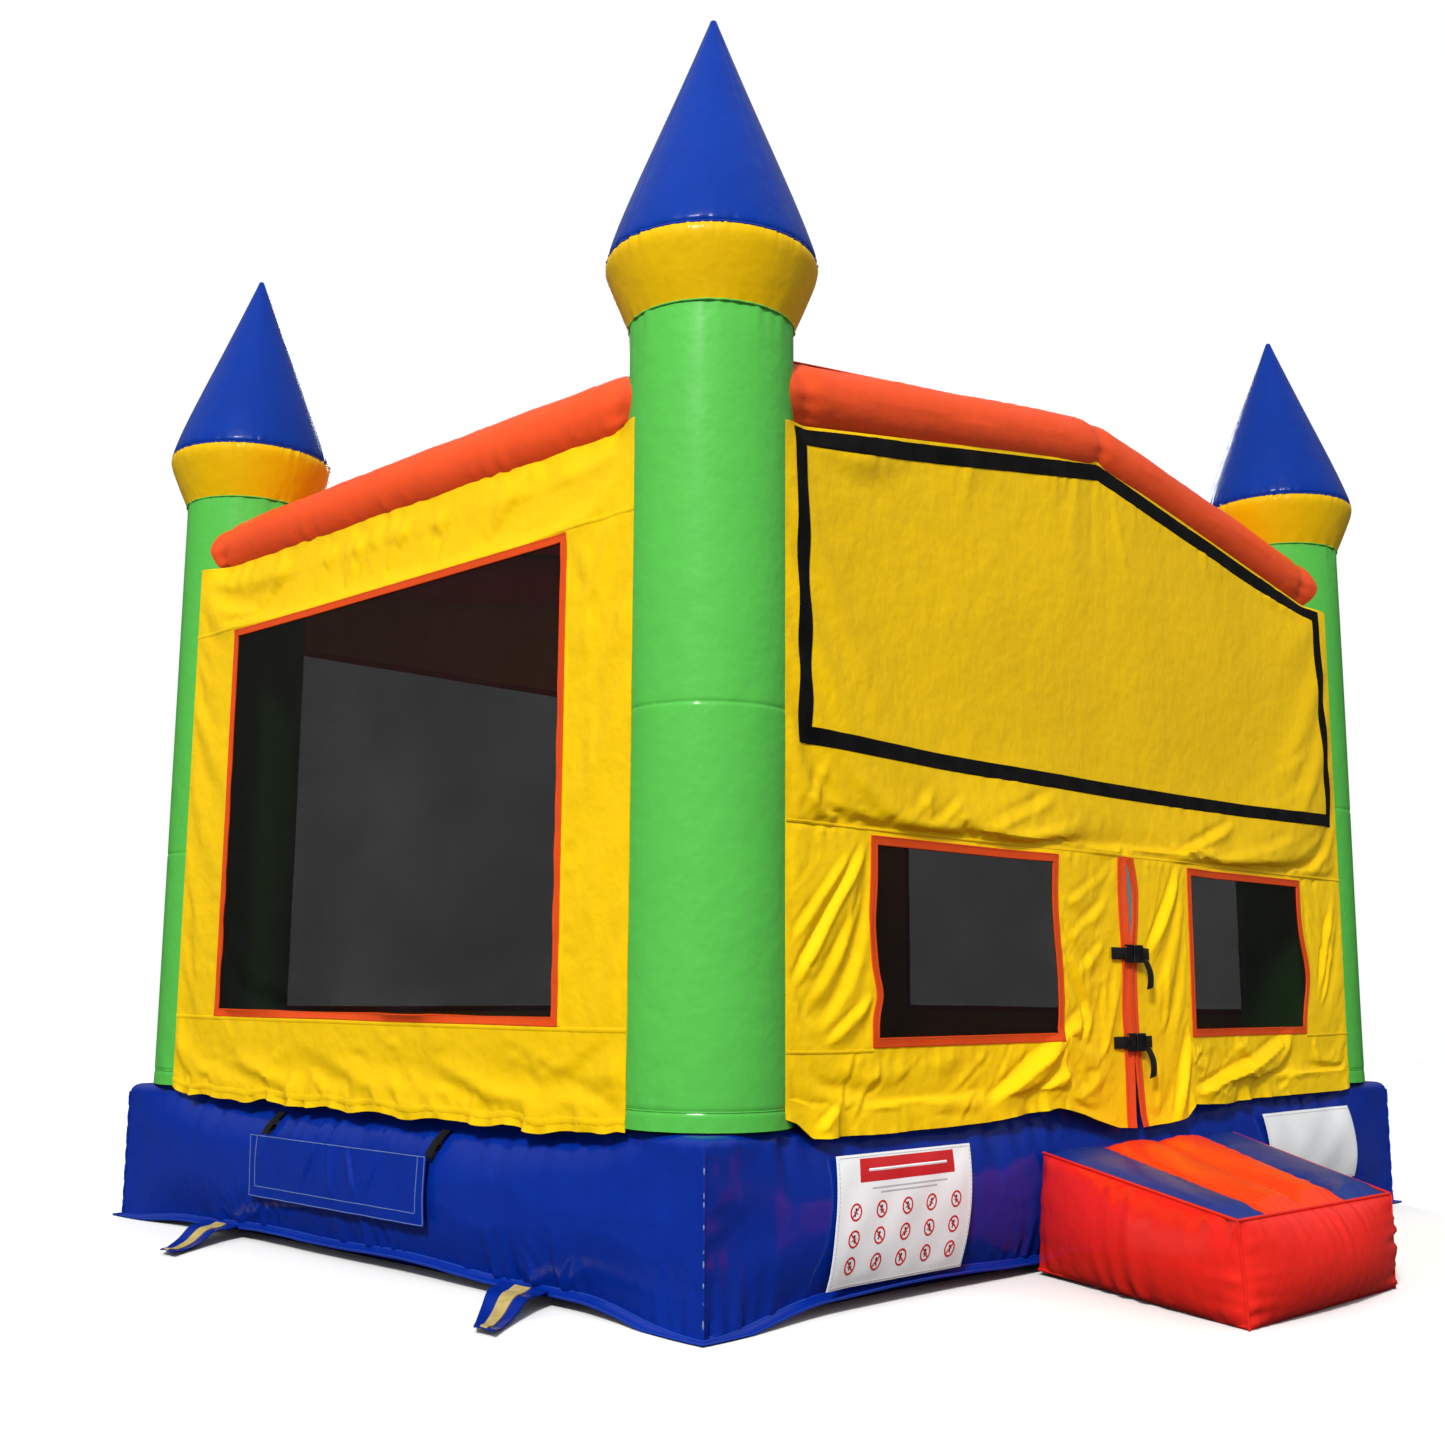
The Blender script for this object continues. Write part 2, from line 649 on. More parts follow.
thread("pale_thread", (0.16, 0.24, 0.50))
thread("orange_thread", (0.62, 0.10, 0.02))


# ---------------------------------------------------------------- camera, light and floor
def add_camera():
    yaw, pitch, roll = (math.radians(angle) for angle in (44.94, 9.16, 0.32))
    forward = Vector((math.sin(yaw) * math.cos(pitch), math.cos(yaw) * math.cos(pitch), math.sin(pitch)))
    level = Vector((math.cos(yaw), -math.sin(yaw), 0.0))
    upright = level.cross(forward)
    right = level * math.cos(roll) + upright * math.sin(roll)
    up = upright * math.cos(roll) - level * math.sin(roll)
    data = bpy.data.cameras.new("camera")
    data.sensor_width = 36.0
    data.lens = 40.95
    data.clip_end = 200.0
    camera = bpy.data.objects.new("camera", data)
    turn = Matrix((right, up, -forward)).transposed().to_4x4()
    camera.matrix_world = Matrix.Translation((-4.958, -4.595, 0.864)) @ turn
    bpy.context.scene.collection.objects.link(camera)
    bpy.context.scene.camera = camera


def add_light(name, place, target, size, power, colour=(1.0, 1.0, 1.0), glossy=True):
    data = bpy.data.lights.new(name, "AREA")
    data.shape = "DISK"
    data.size = size
    data.energy = power
    data.color = colour
    light = bpy.data.objects.new(name, data)
    direction = Vector(target) - Vector(place)
    light.rotation_euler = direction.to_track_quat("-Z", "Y").to_euler()
    light.location = place
    light.visible_camera = False
    light.visible_glossy = glossy
    bpy.context.scene.collection.objects.link(light)


def add_stage():
    """A pale floor, an even pale world with a dimmer sky in reflections, and soft studio lights."""
    world = bpy.data.worlds.new("studio")
    world.use_nodes = True
    tree = world.node_tree
    background = tree.nodes["Background"]
    background.inputs["Color"].default_value = (1.0, 1.0, 1.0, 1.0)
    rays = tree.nodes.new("ShaderNodeLightPath").outputs
    level = remap(tree, rays["Is Camera Ray"], 0.0, 1.0, 0.76, 1.0)
    way = tree.nodes.new("ShaderNodeSeparateXYZ")
    link(tree, tree.nodes.new("ShaderNodeTexCoord").outputs["Generated"], way.inputs["Vector"])
    sky = remap(tree, way.outputs["Z"], 0.18, 0.80, 0.05, 0.80)
    dimmed = mix_value(tree, rays["Is Glossy Ray"], 1.0, sky)
    link(tree, math_node(tree, "MULTIPLY", level, dimmed), background.inputs["Strength"])
    bpy.context.scene.world = world
    tree, shader, coords = new_material("studio_floor")
    cloud = noise(tree, coords, 0.6, 3.0)
    pale = mix_colour(tree, cloud, (0.88, 0.88, 0.88), (0.92, 0.92, 0.92))
    rays = tree.nodes.new("ShaderNodeLightPath").outputs
    seen = mix_colour(tree, rays["Is Camera Ray"], (0.09, 0.09, 0.09), pale)
    link(tree, mix_colour(tree, rays["Is Glossy Ray"], seen, (0.02, 0.02, 0.02)), shader.inputs["Base Color"])
    set_inputs(shader, Roughness=0.9)
    angle = np.arange(96) / 96 * TAU
    rings = [xyz(radius * np.cos(angle), radius * np.sin(angle), -0.0015) for radius in (9.0, 16.0)]
    faces = [list(f) for f in grid_faces(2, 96, wrap=True)] + [list(range(96))]
    floor = make_object("studio_floor", np.concatenate(rings), faces)
    floor.data.materials.append(MATERIALS["studio_floor"])
    add_light("key", (-15.5, -9.5, 12.5), (-0.3, -0.3, 1.4), 3.0, 4900.0, (1.0, 0.99, 0.97))
    add_light("back", (10.0, 12.0, 9.0), (0.0, 0.3, 1.4), 6.0, 1300.0)
    add_light("inside", (0.0, 0.0, 1.0), (0.0, 0.0, 3.0), 2.2, 7.0, (1.0, 0.42, 0.20), False)


# ---------------------------------------------------------------- blown base
def rect_loop(half_x, half_y):
    """Points round a rectangle from its front left corner, their normals, distances to a corner and along."""
    spans = [
        ((-1, -1), (1, -1), (0, -1), 320),
        ((1, -1), (1, 1), (1, 0), 256),
        ((1, 1), (-1, 1), (0, 1), 320),
        ((-1, 1), (-1, -1), (-1, 0), 256),
    ]
    points, normals, gap, along = [], [], [], []
    start = 0.0
    for a, b, normal, count in spans:
        t = np.arange(count) / count
        a, b = np.array(a) * (half_x, half_y), np.array(b) * (half_x, half_y)
        side = math.dist(a, b)
        points.append(a[None] * (1 - t[:, None]) + b[None] * t[:, None])
        normals.append(np.tile(np.array(normal, float), (count, 1)))
        gap.append(np.minimum(t, 1 - t) * side)
        along.append(start + t * side)
        start += side
    return np.concatenate(points), np.concatenate(normals), np.concatenate(gap), np.concatenate(along), start


def base_lift(along, gap):
    return BASE_LIFT * smooth(gap / 0.5) * (1 + 0.22 * np.sin(along * 2.1) + 0.1 * np.sin(along * 7.3 + 1))


TAB_Y = [sum(box("anchor_tab_left_" + place))[1] / 2 for place in ("front", "back")]


def side_inset(z):
    """How far the middle of a side face lies inside the base's box at each height."""
    t = np.clip((z - BASE_LIFT) / (BASE_H - BASE_ROUND - BASE_LIFT), 0, 1)
    return BASE_PULL * (2 * t - 1) ** 2 + BASE_SHOULDER * np.maximum(0.0, 2 * t - 1) ** 4


def build_base():
    flat, normal, gap, along, total = rect_loop(HALF_W, HALF_D)
    pull = BASE_PULL * smooth(gap / 0.55)
    lift = base_lift(along, gap)
    rows = []
    for inset, rise in ((1.2, 0.0), (0.6, 0.0), (0.3, 0.0), (0.16, 0.0), (0.10, 0.03), (0.06, 0.15), (0.028, 0.45),
                        (0.010, 0.8)):
        loop = rect_loop(HALF_W - inset, HALF_D - inset)[0]
        point = loop - normal * pull[:, None]
        rows.append(np.column_stack([point, lift * rise]))
    top = BASE_H - BASE_ROUND
    shoulder = BASE_SHOULDER * smooth(gap / 0.9) * np.abs(normal[:, 0])
    creases = []
    rng = np.random.default_rng(18)
    for start, sign in ((2 * HALF_W, 1), (4 * HALF_W + 2 * HALF_D, -1)):
        for tab in TAB_Y:
            at = start + HALF_D + sign * tab
            for turn in (-1.15, -0.75, -0.35, 0.1, 0.5, 0.95):
                turn = turn + rng.uniform(-0.12, 0.12)
                length = rng.uniform(0.10, 0.17)
                sin, cos = math.sin(turn), math.cos(turn)
                creases.append((at + 0.035 * sin * 1.6, 0.05 + 0.035 * cos * 0.3, at + length * sin * 1.3,
                                0.05 + length * cos, 0.013, 0.0065, 0.25))
        for _ in range(9):
            at = start + HALF_D + rng.uniform(-0.42, 0.42)
            creases.append((at, 0.455, at + rng.uniform(-0.05, 0.03), rng.uniform(0.30, 0.38), 0.014, 0.0055, 0.2))
    for t in np.linspace(0, 1, 48):
        z = lift + (top - lift) * t
        inset = pull * (2 * t - 1) ** 2 + shoulder * max(0.0, 2 * t - 1) ** 4
        away_low, away_high = z - lift, top - z
        bulge = puckers(along, away_low, 0.10, 0.0095, 0.055, 11, total) * smooth(away_low / 0.012 + 0.35)
        bulge = bulge + puckers(along, away_high, 0.13, 0.0050, 0.08, 12, total)
        bulge = bulge + 0.0045 * waves(along, z * 1.6, 0.5, 13) * math.sin(math.pi * t)
        bulge = folds(bulge, along, z, creases)
        pinch = puckers(z, gap, 0.07, 0.0045, 0.05, 14) * smooth(gap / 0.02)
        bulge = bulge + pinch - 0.008 * np.exp(-((gap - 0.11) / 0.07) ** 2) * math.sin(math.pi * t)
        point = flat - normal * np.maximum(inset - bulge * smooth(gap / 0.03), 0.0)[:, None]
        rows.append(np.column_stack([point, z]))
    for step in range(1, 6):
        angle = step / 5 * math.pi / 2
        inset = BASE_ROUND * (1 - math.cos(angle))
        loop = rect_loop(HALF_W - inset, HALF_D - inset)[0]
        bulge = puckers(along, 0 * along, 0.13, 0.0050, 0.08, 12, total) * math.cos(angle)
        point = loop - normal * (pull + shoulder - bulge * smooth(gap / 0.03))[:, None]
        rows.append(np.column_stack([point, 0 * along + top + BASE_ROUND * math.sin(angle)]))
    for inset in np.concatenate([np.arange(0.07, 1.5, 0.055), [HALF_D - 0.02]]):
        loop = rect_loop(HALF_W - inset, HALF_D - inset)[0]
        point = loop - normal * ((pull + shoulder) * max(0.0, 1 - inset / 0.4))[:, None]
        inside = smooth((inset - 0.08) / 0.12)
        channel = 0.5 - 0.5 * np.cos(TAU * (point[:, 0] + 0.18) / 0.36)
        z = BASE_H - 0.040 * inside * (1 - np.sqrt(np.clip(channel, 0, 1)))
        z = z + 0.002 * inside * waves(point[:, 0], point[:, 1], 0.3, 15)
        rows.append(np.column_stack([point, z]))
    base = piece("base_cover", closed_tube(np.stack(rows)), "blue_cloth",
                 replaces=("base_shell", "base_baffle_1", "base_baffle_2", "base_baffle_3"))
    seam = np.column_stack([flat - normal * pull[:, None], lift])
    parts = []
    outer = (0.0, 0.006, 0.011, 0.021, 0.026, 0.030, 0.026, 0.021, 0.010, 0.0)
    down = (0.006, 0.0075, 0.004, 0.000, 0.0015, -0.002, -0.0055, -0.004, -0.003, -0.006)
    wobble = 0.0035 * waves(along, 0 * along, 0.22, 16)
    rings = []
    diagonal = normal.copy()
    for index in np.where(gap < 1e-9)[0]:
        diagonal[index] = normal[index] + normal[index - 1]
    for reach, rise in zip(outer, down):
        drop = reach * (0.35 + 6.0 * wobble)
        ring = np.column_stack([seam[:, :2] + diagonal * reach, seam[:, 2] + rise - drop])
        ring[:, 2] = np.maximum(ring[:, 2], 0.0008)
        rings.append(ring)
    parts.append(loop_tube(np.stack(rings, 1)))
    for index in np.where(gap < 1e-9)[0]:
        corner = flat[index]
        z = np.linspace(0.004, BASE_H - 0.03, 40)
        way = diagonal[index] / 1.414
        out = 0.001 + 0.0016 * np.sin(z * 90)
        path = xyz(corner[0] + way[0] * out, corner[1] + way[1] * out, z)
        parts.append(closed_tube(sweep(path, 8, 0.0042, up=(way[0], way[1], 0.0))))
    piece("base_flange", parts, "blue_cloth")
    parts = []
    for reach, rise, bead in ((0.004, 0.0075, 0.0032), (0.0275, 0.0015, 0.0026)):
        drop = reach * (0.35 + 6.0 * wobble)
        path = np.column_stack([seam[:, :2] + diagonal * reach, np.maximum(seam[:, 2] + rise - drop, 0.0036)])
        parts.append(loop_tube(sweep(path, 6, bead, closed=True)))
    piece("base_piping", parts, "piping_cloth")
    parts = []
    rng = np.random.default_rng(17)
    for index in np.where(gap < 1e-9)[0]:
        way = diagonal[index] / 1.414
        for z in np.arange(0.05, BASE_H - 0.05, 0.045):
            size = rng.uniform(0.006, 0.013)
            t = np.linspace(-1, 1, 5)
            x, y = flat[index] + way * 0.0042
            path = xyz(x, y, z + rng.uniform(-0.01, 0.01) + size * t)
            parts.append(closed_tube(sweep(path, 6, 0.0022 * np.sqrt(1.05 - t * t), up=(way[0], way[1], 0.0))))
    piece("base_corner_stitches", parts, "pale_thread")


# ---------------------------------------------------------------- towers
def turned(centre, heights, radius_at, sides=168):
    """A surface of revolution whose radius radius_at(angle, height) varies round it."""
    angle = np.arange(sides) / sides * TAU
    grid_a, grid_z = np.meshgrid(angle, heights)
    radius = radius_at(grid_a, grid_z)
    x = centre[0] + radius * np.cos(grid_a)
    y = centre[1] + radius * np.sin(grid_a)
    return xyz(x, y, grid_z)


def seam_rows(breaks, step, seams):
    rows = set(np.round(lines(breaks, step), 4))
    for z in seams:
        rows |= {round(z + shift, 4) for shift in (-0.02, -0.012, -0.006, -0.003, 0.0, 0.003, 0.006, 0.012, 0.02)}
    rows = sorted(r for r in rows if breaks[0] <= r <= breaks[-1])
    return np.array([r for i, r in enumerate(rows) if i == 0 or r - rows[i - 1] > 0.0015])


NOSE = 0.017


def dress_blown(part, corner, rings, material):
    cover = piece(f"{part}_cover_{corner}", closed_tube(rings), material, replaces=(f"{part}_{corner}",))


def build_towers():
    for number, corner in enumerate(CORNERS):
        centre = CENTRES[corner]
        seed = 100 + 10 * number
        loop = TAU * COLUMN_R
        foot = BASE_H - 0.030
        cuff = 0.546
        middle = 1.36 if corner == "back_left" else 1.62

        def column_radius(a, z):
            s = a * COLUMN_R
            r = COLUMN_R - 0.0015 + 0.010 * np.exp(-np.maximum(z - foot, 0) / 0.018)
            r = r - 0.0035 * np.exp(-((z - cuff) / 0.006) ** 2) - 0.0025 * np.exp(-((z - middle) / 0.005) ** 2)
            r = r + puckers(s, COLUMN_TOP - z, 0.07, 0.0022, 0.06, seed, loop)
            r = r + puckers(s, z - cuff, 0.09, 0.0016, 0.035, seed + 1, loop)
            r = r + puckers(s, z - middle, 0.12, 0.0010, 0.05, seed + 2, loop)
            r = r + puckers(s, z - foot, 0.08, 0.0028, 0.03, seed + 3, loop)
            r = r + 0.0016 * np.sin(2 * a + seed) * np.sin(z * 2.3 + seed) + 0.0010 * np.sin(3 * a + z * 1.7)
            return r

        rows = seam_rows([foot, COLUMN_TOP], 0.035, (cuff, middle))
        dress_blown("column", corner, turned(centre, rows, column_radius), "green_cloth")

        def collar_radius(a, z):
            s = a * COLLAR_R
            t = np.clip((COLLAR_TOP - z) / (COLLAR_TOP - COLUMN_TOP), 0, 1)
            bulge = np.minimum(1.0, 1.10 * (1 - t ** 1.12)) - 0.10 * np.exp(-t / 0.035)
            bulge = bulge - 0.06 * np.exp(-(((t - 0.09) / 0.09) ** 2)) * 0.6
            r = COLUMN_R + (COLLAR_R - COLUMN_R) * bulge + 0.001
            r = r + puckers(s, COLLAR_TOP - z, 0.030, 0.0042, 0.024, seed + 4, TAU * COLLAR_R)
            r = r + puckers(s, z - COLUMN_TOP, 0.06, 0.0016, 0.025, seed + 5, TAU * COLLAR_R)
            return r

        rows = lines([COLUMN_TOP - 0.001, COLLAR_TOP], 0.007)
        dress_blown("collar", corner, turned(centre, rows, collar_radius, 240), "collar_cloth")

        def spire_radius(a, z):
            t = np.clip((z - COLLAR_TOP) / (SPIRE_TOP + 0.018 - COLLAR_TOP), 0, 1)
            s = a * SPIRE_R
            straight = SPIRE_R * (1 - t)
            belly = 0.014 * np.sin(math.pi * np.clip(t, 0, 1) ** 0.55) * (1 - t)
            r = straight + belly - 0.010 * np.exp(-(z - COLLAR_TOP) / 0.008)
            r = r + puckers(s, z - COLLAR_TOP, 0.038, 0.0040, 0.026, seed + 6, TAU * SPIRE_R) * (1 - t)
            r = r + puckers(s, z - COLLAR_TOP, 0.16, 0.0020, 0.22, seed + 7, TAU * SPIRE_R) * (1 - t) ** 2
            gores = np.abs(((a + 0.9) / (TAU / 4)) % 1.0 - 0.5) * 2 * (TAU / 8)
            r = r - 0.0016 * np.exp(-(gores * np.maximum(r, 0.02) / 0.006) ** 2) * smooth((1 - t) * 8)
            nose = np.sqrt(np.maximum(NOSE ** 2 - (z - SPIRE_TOP + 0.003 + NOSE) ** 2, 2e-6))
            return np.where(z > SPIRE_TOP - 0.003 - NOSE, np.minimum(r, nose), r)

        nose_rows = SPIRE_TOP - 0.003 - NOSE * np.array([1.6, 1.2, 1.0, 0.8, 0.65, 0.5, 0.35, 0.2, 0.1, 0.03, 0.0])
        rows = np.concatenate([lines([COLLAR_TOP + 0.0005, COLLAR_TOP + 0.12], 0.008),
                               lines([COLLAR_TOP + 0.14, SPIRE_TOP - 0.035], 0.028),
                               nose_rows])
        dress_blown("spire", corner, turned(centre, rows, spire_radius, 216), "spire_cloth")
        angle = np.arange(180) / 180 * TAU
        parts = []
        for height, bead, at in ((COLLAR_TOP, 0.0032, collar_radius), (COLUMN_TOP, 0.0026, collar_radius),
                                 (cuff, 0.0022, column_radius)):
            radius = at(angle, 0 * angle + height) + 0.0008
            path = xyz(centre[0] + radius * np.cos(angle), centre[1] + radius * np.sin(angle), height)
            parts.append(loop_tube(sweep(path, 6, bead, closed=True)))
        piece("spire_seam_" + corner, parts[0], "blue_cloth")
        piece("column_seam_" + corner, parts[1:], "green_cloth")


# ---------------------------------------------------------------- roof beams and roof
def blown_beam(name, path, node, seed, seam_angles, ends):
    path = np.asarray(path)
    rings = sweep(path, 72, BEAM_R)
    length = np.concatenate([[0], np.cumsum(np.linalg.norm(np.diff(path, axis=0), axis=1))])
    angle = np.arange(72) / 72 * TAU
    grid_a, grid_s = np.meshgrid(angle, length)
    change = 0.0016 * waves(grid_s, grid_a * BEAM_R, 0.4, seed)
    for number, seam in enumerate(seam_angles):
        away = np.abs((grid_a - seam + math.pi) % TAU - math.pi) * BEAM_R
        change = change + puckers(grid_s, away, 0.075, 0.0034, 0.045, seed + 1 + number)
    for end in ends:
        away = np.abs(grid_s - end)
        change = change + puckers(grid_a * BEAM_R, away, 0.06, 0.0036, 0.06, seed + 5, TAU * BEAM_R)
        change = change - 0.010 * np.exp(-(away / 0.035) ** 2)
    centre = rings.mean(axis=1, keepdims=True)
    rings = centre + (rings - centre) * (1 + change / BEAM_R)[..., None]
    cover = piece(name, closed_tube(rings), "orange_cloth", replaces=(node,), angle=50)


def build_roof():
    low, high = box("eave_beam_left")
    eave_z = (low[2] + high[2]) / 2
    side_x = HALF_W - BEAM_INSET
    for name, side in (("left", -1), ("right", 1)):
        y = lines([-COLUMN_Y + 0.02, COLUMN_Y - 0.02], 0.022) * (1 if side < 0 else -1)
        z = eave_z + 0.006 * np.sin((y + COLUMN_Y) / (2 * COLUMN_Y) * math.pi) - 0.004
        path = xyz(side * side_x, y, z)
        ends = (0.16, 2 * COLUMN_Y - 0.20)
        blown_beam("eave_cover_" + name, path, "eave_beam_" + name, 200 + side * 7, (TAU * 0.60, TAU * 0.25), ends)
    ridge = 2.80
    for name, side in (("front", -1), ("back", 1)):
        y = side * (HALF_D - BEAM_INSET)
        x = lines([-COLUMN_X + 0.02, 0.0, COLUMN_X - 0.02], 0.022) * (1 if side < 0 else -1)
        z = ridge - (ridge - eave_z) * (np.sqrt(x * x + 0.05 ** 2) - 0.02) / COLUMN_X
        path = xyz(x, y, z)
        middle = COLUMN_X
        blown_beam("gable_cover_" + name, path, "gable_beam_" + name, 240 + side * 9, (TAU * 0.60, TAU * 0.25),
                   (0.17, middle, 2 * COLUMN_X - 0.2))
    for name, side in (("left", -1), ("right", 1)):
        us = lines([-(HALF_D - BEAM_INSET), HALF_D - BEAM_INSET], 0.04)
        vs = lines([0.0, side_x], 0.04)
        grid_u, grid_v = np.meshgrid(us, vs)
        t = grid_v / side_x
        z = 2.920 + (2.663 - 2.920) * t
        edge = np.minimum(HALF_D - BEAM_INSET - np.abs(grid_u), 0.5) / 0.5
        sag = -0.030 * np.sin(math.pi * t) * smooth(edge)
        z = z + sag + 0.004 * waves(grid_u, grid_v, 0.5, 260 + side) * smooth(edge) * np.sin(math.pi * t)
        z = z + puckers(grid_u, side_x - grid_v, 0.09, 0.004, 0.06, 262)
        points = xyz(side * np.maximum(grid_v, 0.0004), grid_u, z)
        sheet = Sheet(us, vs, points, (0, 0, 1))
        sheet.refine()
        cover = sheet.piece("roof_cover_" + name, whole, "roof_cloth", "orange_vinyl", CLOTH,
                            replaces=("roof_sheet_" + name,))
    us = lines([-(HALF_D - BEAM_INSET), HALF_D - BEAM_INSET], 0.03)
    path = xyz(0.0, us, 2.921)
    piece("ridge_seam", closed_tube(sweep(path, 8, 0.006)), "orange_cloth")


# ---------------------------------------------------------------- walls
def gable_top(x):
    return PEAK - (PEAK - GABLE_EAVE) * np.abs(x) / COLUMN_X


SLOPE_START = 1.58


def end_height(u, v, start=SLOPE_START):
    """Real height of an end wall's flat coordinate v: level rows below start, rows along the gable above it."""
    t = np.clip((v - start) / (GABLE_EAVE - start), 0, None)
    return np.where(v <= start, v, start + t * (gable_top(u) - start))


def end_flat(x, z):
    """The flat coordinate v of a real height z on an end wall at x."""
    t = (z - SLOPE_START) / (gable_top(x) - SLOPE_START)
    return np.where(z <= SLOPE_START, z, SLOPE_START + t * (GABLE_EAVE - SLOPE_START))


BACK_SLOPE = 2.32
TO_SETTLE = []


def opening(node, axis):
    low, high = box(node)
    return low[axis], high[axis], low[2], high[2]


def wall_grid(half, top, window, step, seed):
    """A wall's flat coordinates, with lines along its window, and the outward folds that every wall has.

    The folds gather under the beam, at the columns, at the hem and at the window.
    """
    low_u, high_u, low_v, high_v = window
    us = lines([-half, low_u - 0.03, low_u, low_u + TRIM, high_u - TRIM, high_u, high_u + 0.03, half], step)
    vs = lines([WALL_FOOT, 0.53, low_v, low_v + TRIM, high_v - TRIM, high_v, top + 0.005], step)
    u, v = np.meshgrid(us, vs)
    d = 0.005 * waves(u, v, 0.8, seed)
    d = d + puckers(u, top - v, 0.11, 0.0055, 0.10, seed + 1)
    side = half - np.abs(u)
    d = d + puckers(v, side, 0.16, 0.0065, 0.10, seed + 2) * smooth(side / 0.02)
    out_u = np.maximum(np.maximum(low_u - u, u - high_u), 0)
    out_v = np.maximum(np.maximum(low_v - v, v - high_v), 0)
    out = np.hypot(out_u, out_v)
    ring = np.where(out_u > out_v, v, u)
    d = d + puckers(ring, out, 0.085, 0.0035, 0.045, seed + 3) * (out > 0)
    d = d * np.where(out > 0, 0.35 + 0.65 * smooth(out / 0.06), 0.12)
    d = d + 0.010 * np.exp(-(v - WALL_FOOT) / 0.05)
    return us, vs, u, v, d + puckers(u, v - WALL_FOOT, 0.13, 0.010, 0.060, seed + 4) * smooth(side / 0.06)


def build_side_walls():
    window = opening("window_trim_left", 1)
    for name, side in (("left", -1), ("right", 1)):
        seed = 300 if side < 0 else 330
        us, vs, u, v, d = wall_grid(SIDE_END, WALL_TOP, window, 0.025, seed)
        d = folds(d, u * -side, v, (
            (-1.20, 0.62, -0.60, 0.70, 0.05, 0.010, 0.6), (-0.90, 0.52, -0.35, 0.66, 0.045, 0.012, 0.6),
            (-0.10, 0.55, 0.45, 0.70, 0.05, 0.010, 0.5), (0.35, 0.51, 0.80, 0.62, 0.04, 0.012, 0.6),
            (1.10, 0.60, 1.14, 1.30, 0.05, 0.008, 0.5), (1.16, 1.20, 1.08, 2.10, 0.045, 0.008, 0.5),
            (-1.12, 0.85, -1.08, 1.70, 0.05, 0.007, 0.5), (-1.15, 1.90, -0.92, 2.30, 0.05, 0.010, 0.5),
            (-0.72, 2.42, -0.50, 2.24, 0.030, 0.012, 0.7), (-0.30, 2.42, -0.22, 2.23, 0.026, 0.012, 0.7),
            (-0.10, 2.41, 0.04, 2.22, 0.024, 0.013, 0.7), (0.18, 2.42, 0.26, 2.22, 0.024, 0.014, 0.7),
            (0.36, 2.41, 0.50, 2.22, 0.026, 0.013, 0.7), (0.66, 2.40, 0.90, 2.23, 0.028, 0.013, 0.7),
            (0.86, 2.24, 1.14, 2.27, 0.024, 0.012, 0.7), (-1.06, 2.16, -1.10, 1.40, 0.035, 0.010, 0.6),
            (-1.18, 2.20, -1.04, 1.75, 0.030, 0.008, 0.6),
        ))
        d = crumples(d, u, v, (
            (seed + 10, (-1.22, 1.22, 0.48, 0.56), 60, 0.07, 0.016, 0.0065, 1.0, 0.7),
            (seed + 11, (-1.22, 1.22, 0.54, 0.75), 26, 0.20, 0.022, 0.0045, 0.3, 0.5),
            (seed + 12, (-1.15, 1.15, 2.21, 2.44), 22, 0.14, 0.020, 0.0022, 1.3, 0.5),
            (seed + 13, (0.99, 1.25, 0.60, 2.40), 10, 0.24, 0.022, 0.0022, 1.4, 0.3),
            (seed + 14, (-1.25, -0.99, 0.60, 2.40), 10, 0.24, 0.022, 0.0022, 1.4, 0.3),
        ))
        edge = smooth((SIDE_END - np.abs(u)) / 0.05) * smooth((WALL_TOP - v) / 0.03)
        d = d * edge - 0.050 * smooth((v - WALL_TOP + 0.09) / 0.09) * smooth((SIDE_END - np.abs(u)) / 0.14)
        hem = 0.006 * waves(u, 0 * u, 0.22, seed + 7) + 0.022 * smooth((np.abs(u) - SIDE_END + 0.09) / 0.08)
        z = v + hem * smooth((0.60 - v) / 0.13)
        points = xyz(side * (WALL_X + d), u, z)
        sheet = Sheet(us, vs, points, (side, 0, 0))
        TO_SETTLE.append((sheet, wall_pins(u, v, SIDE_END, WALL_TOP, window)))
        yield name, side, sheet, window


def wall_pins(u, v, half, top, window):
    """How firmly each point is held while the cloth settles: 1 on seams, a little elsewhere."""
    low_u, high_u, low_v, high_v = window
    edge = np.minimum(half - np.abs(u), top - v)
    firm = 0.06 + 0.0 * u
    firm = np.maximum(firm, 1 - smooth(edge / 0.035))
    firm = np.maximum(firm, 0.9 * np.exp(-((v - 0.53) / 0.02) ** 2))
    on_u = np.exp(-(np.minimum(np.abs(u - low_u), np.abs(u - high_u)) / 0.02) ** 2) * (v > low_v) * (v < high_v)
    on_v = np.exp(-(np.minimum(np.abs(v - low_v), np.abs(v - high_v)) / 0.02) ** 2) * (u > low_u) * (u < high_u)
    inside = (u > low_u) & (u < high_u) & (v > low_v) & (v < high_v)
    firm = np.maximum(firm, 0.8 * np.maximum(on_u, on_v))
    firm = np.maximum(firm, 0.25 * inside)
    return np.clip(firm, 0, 1)


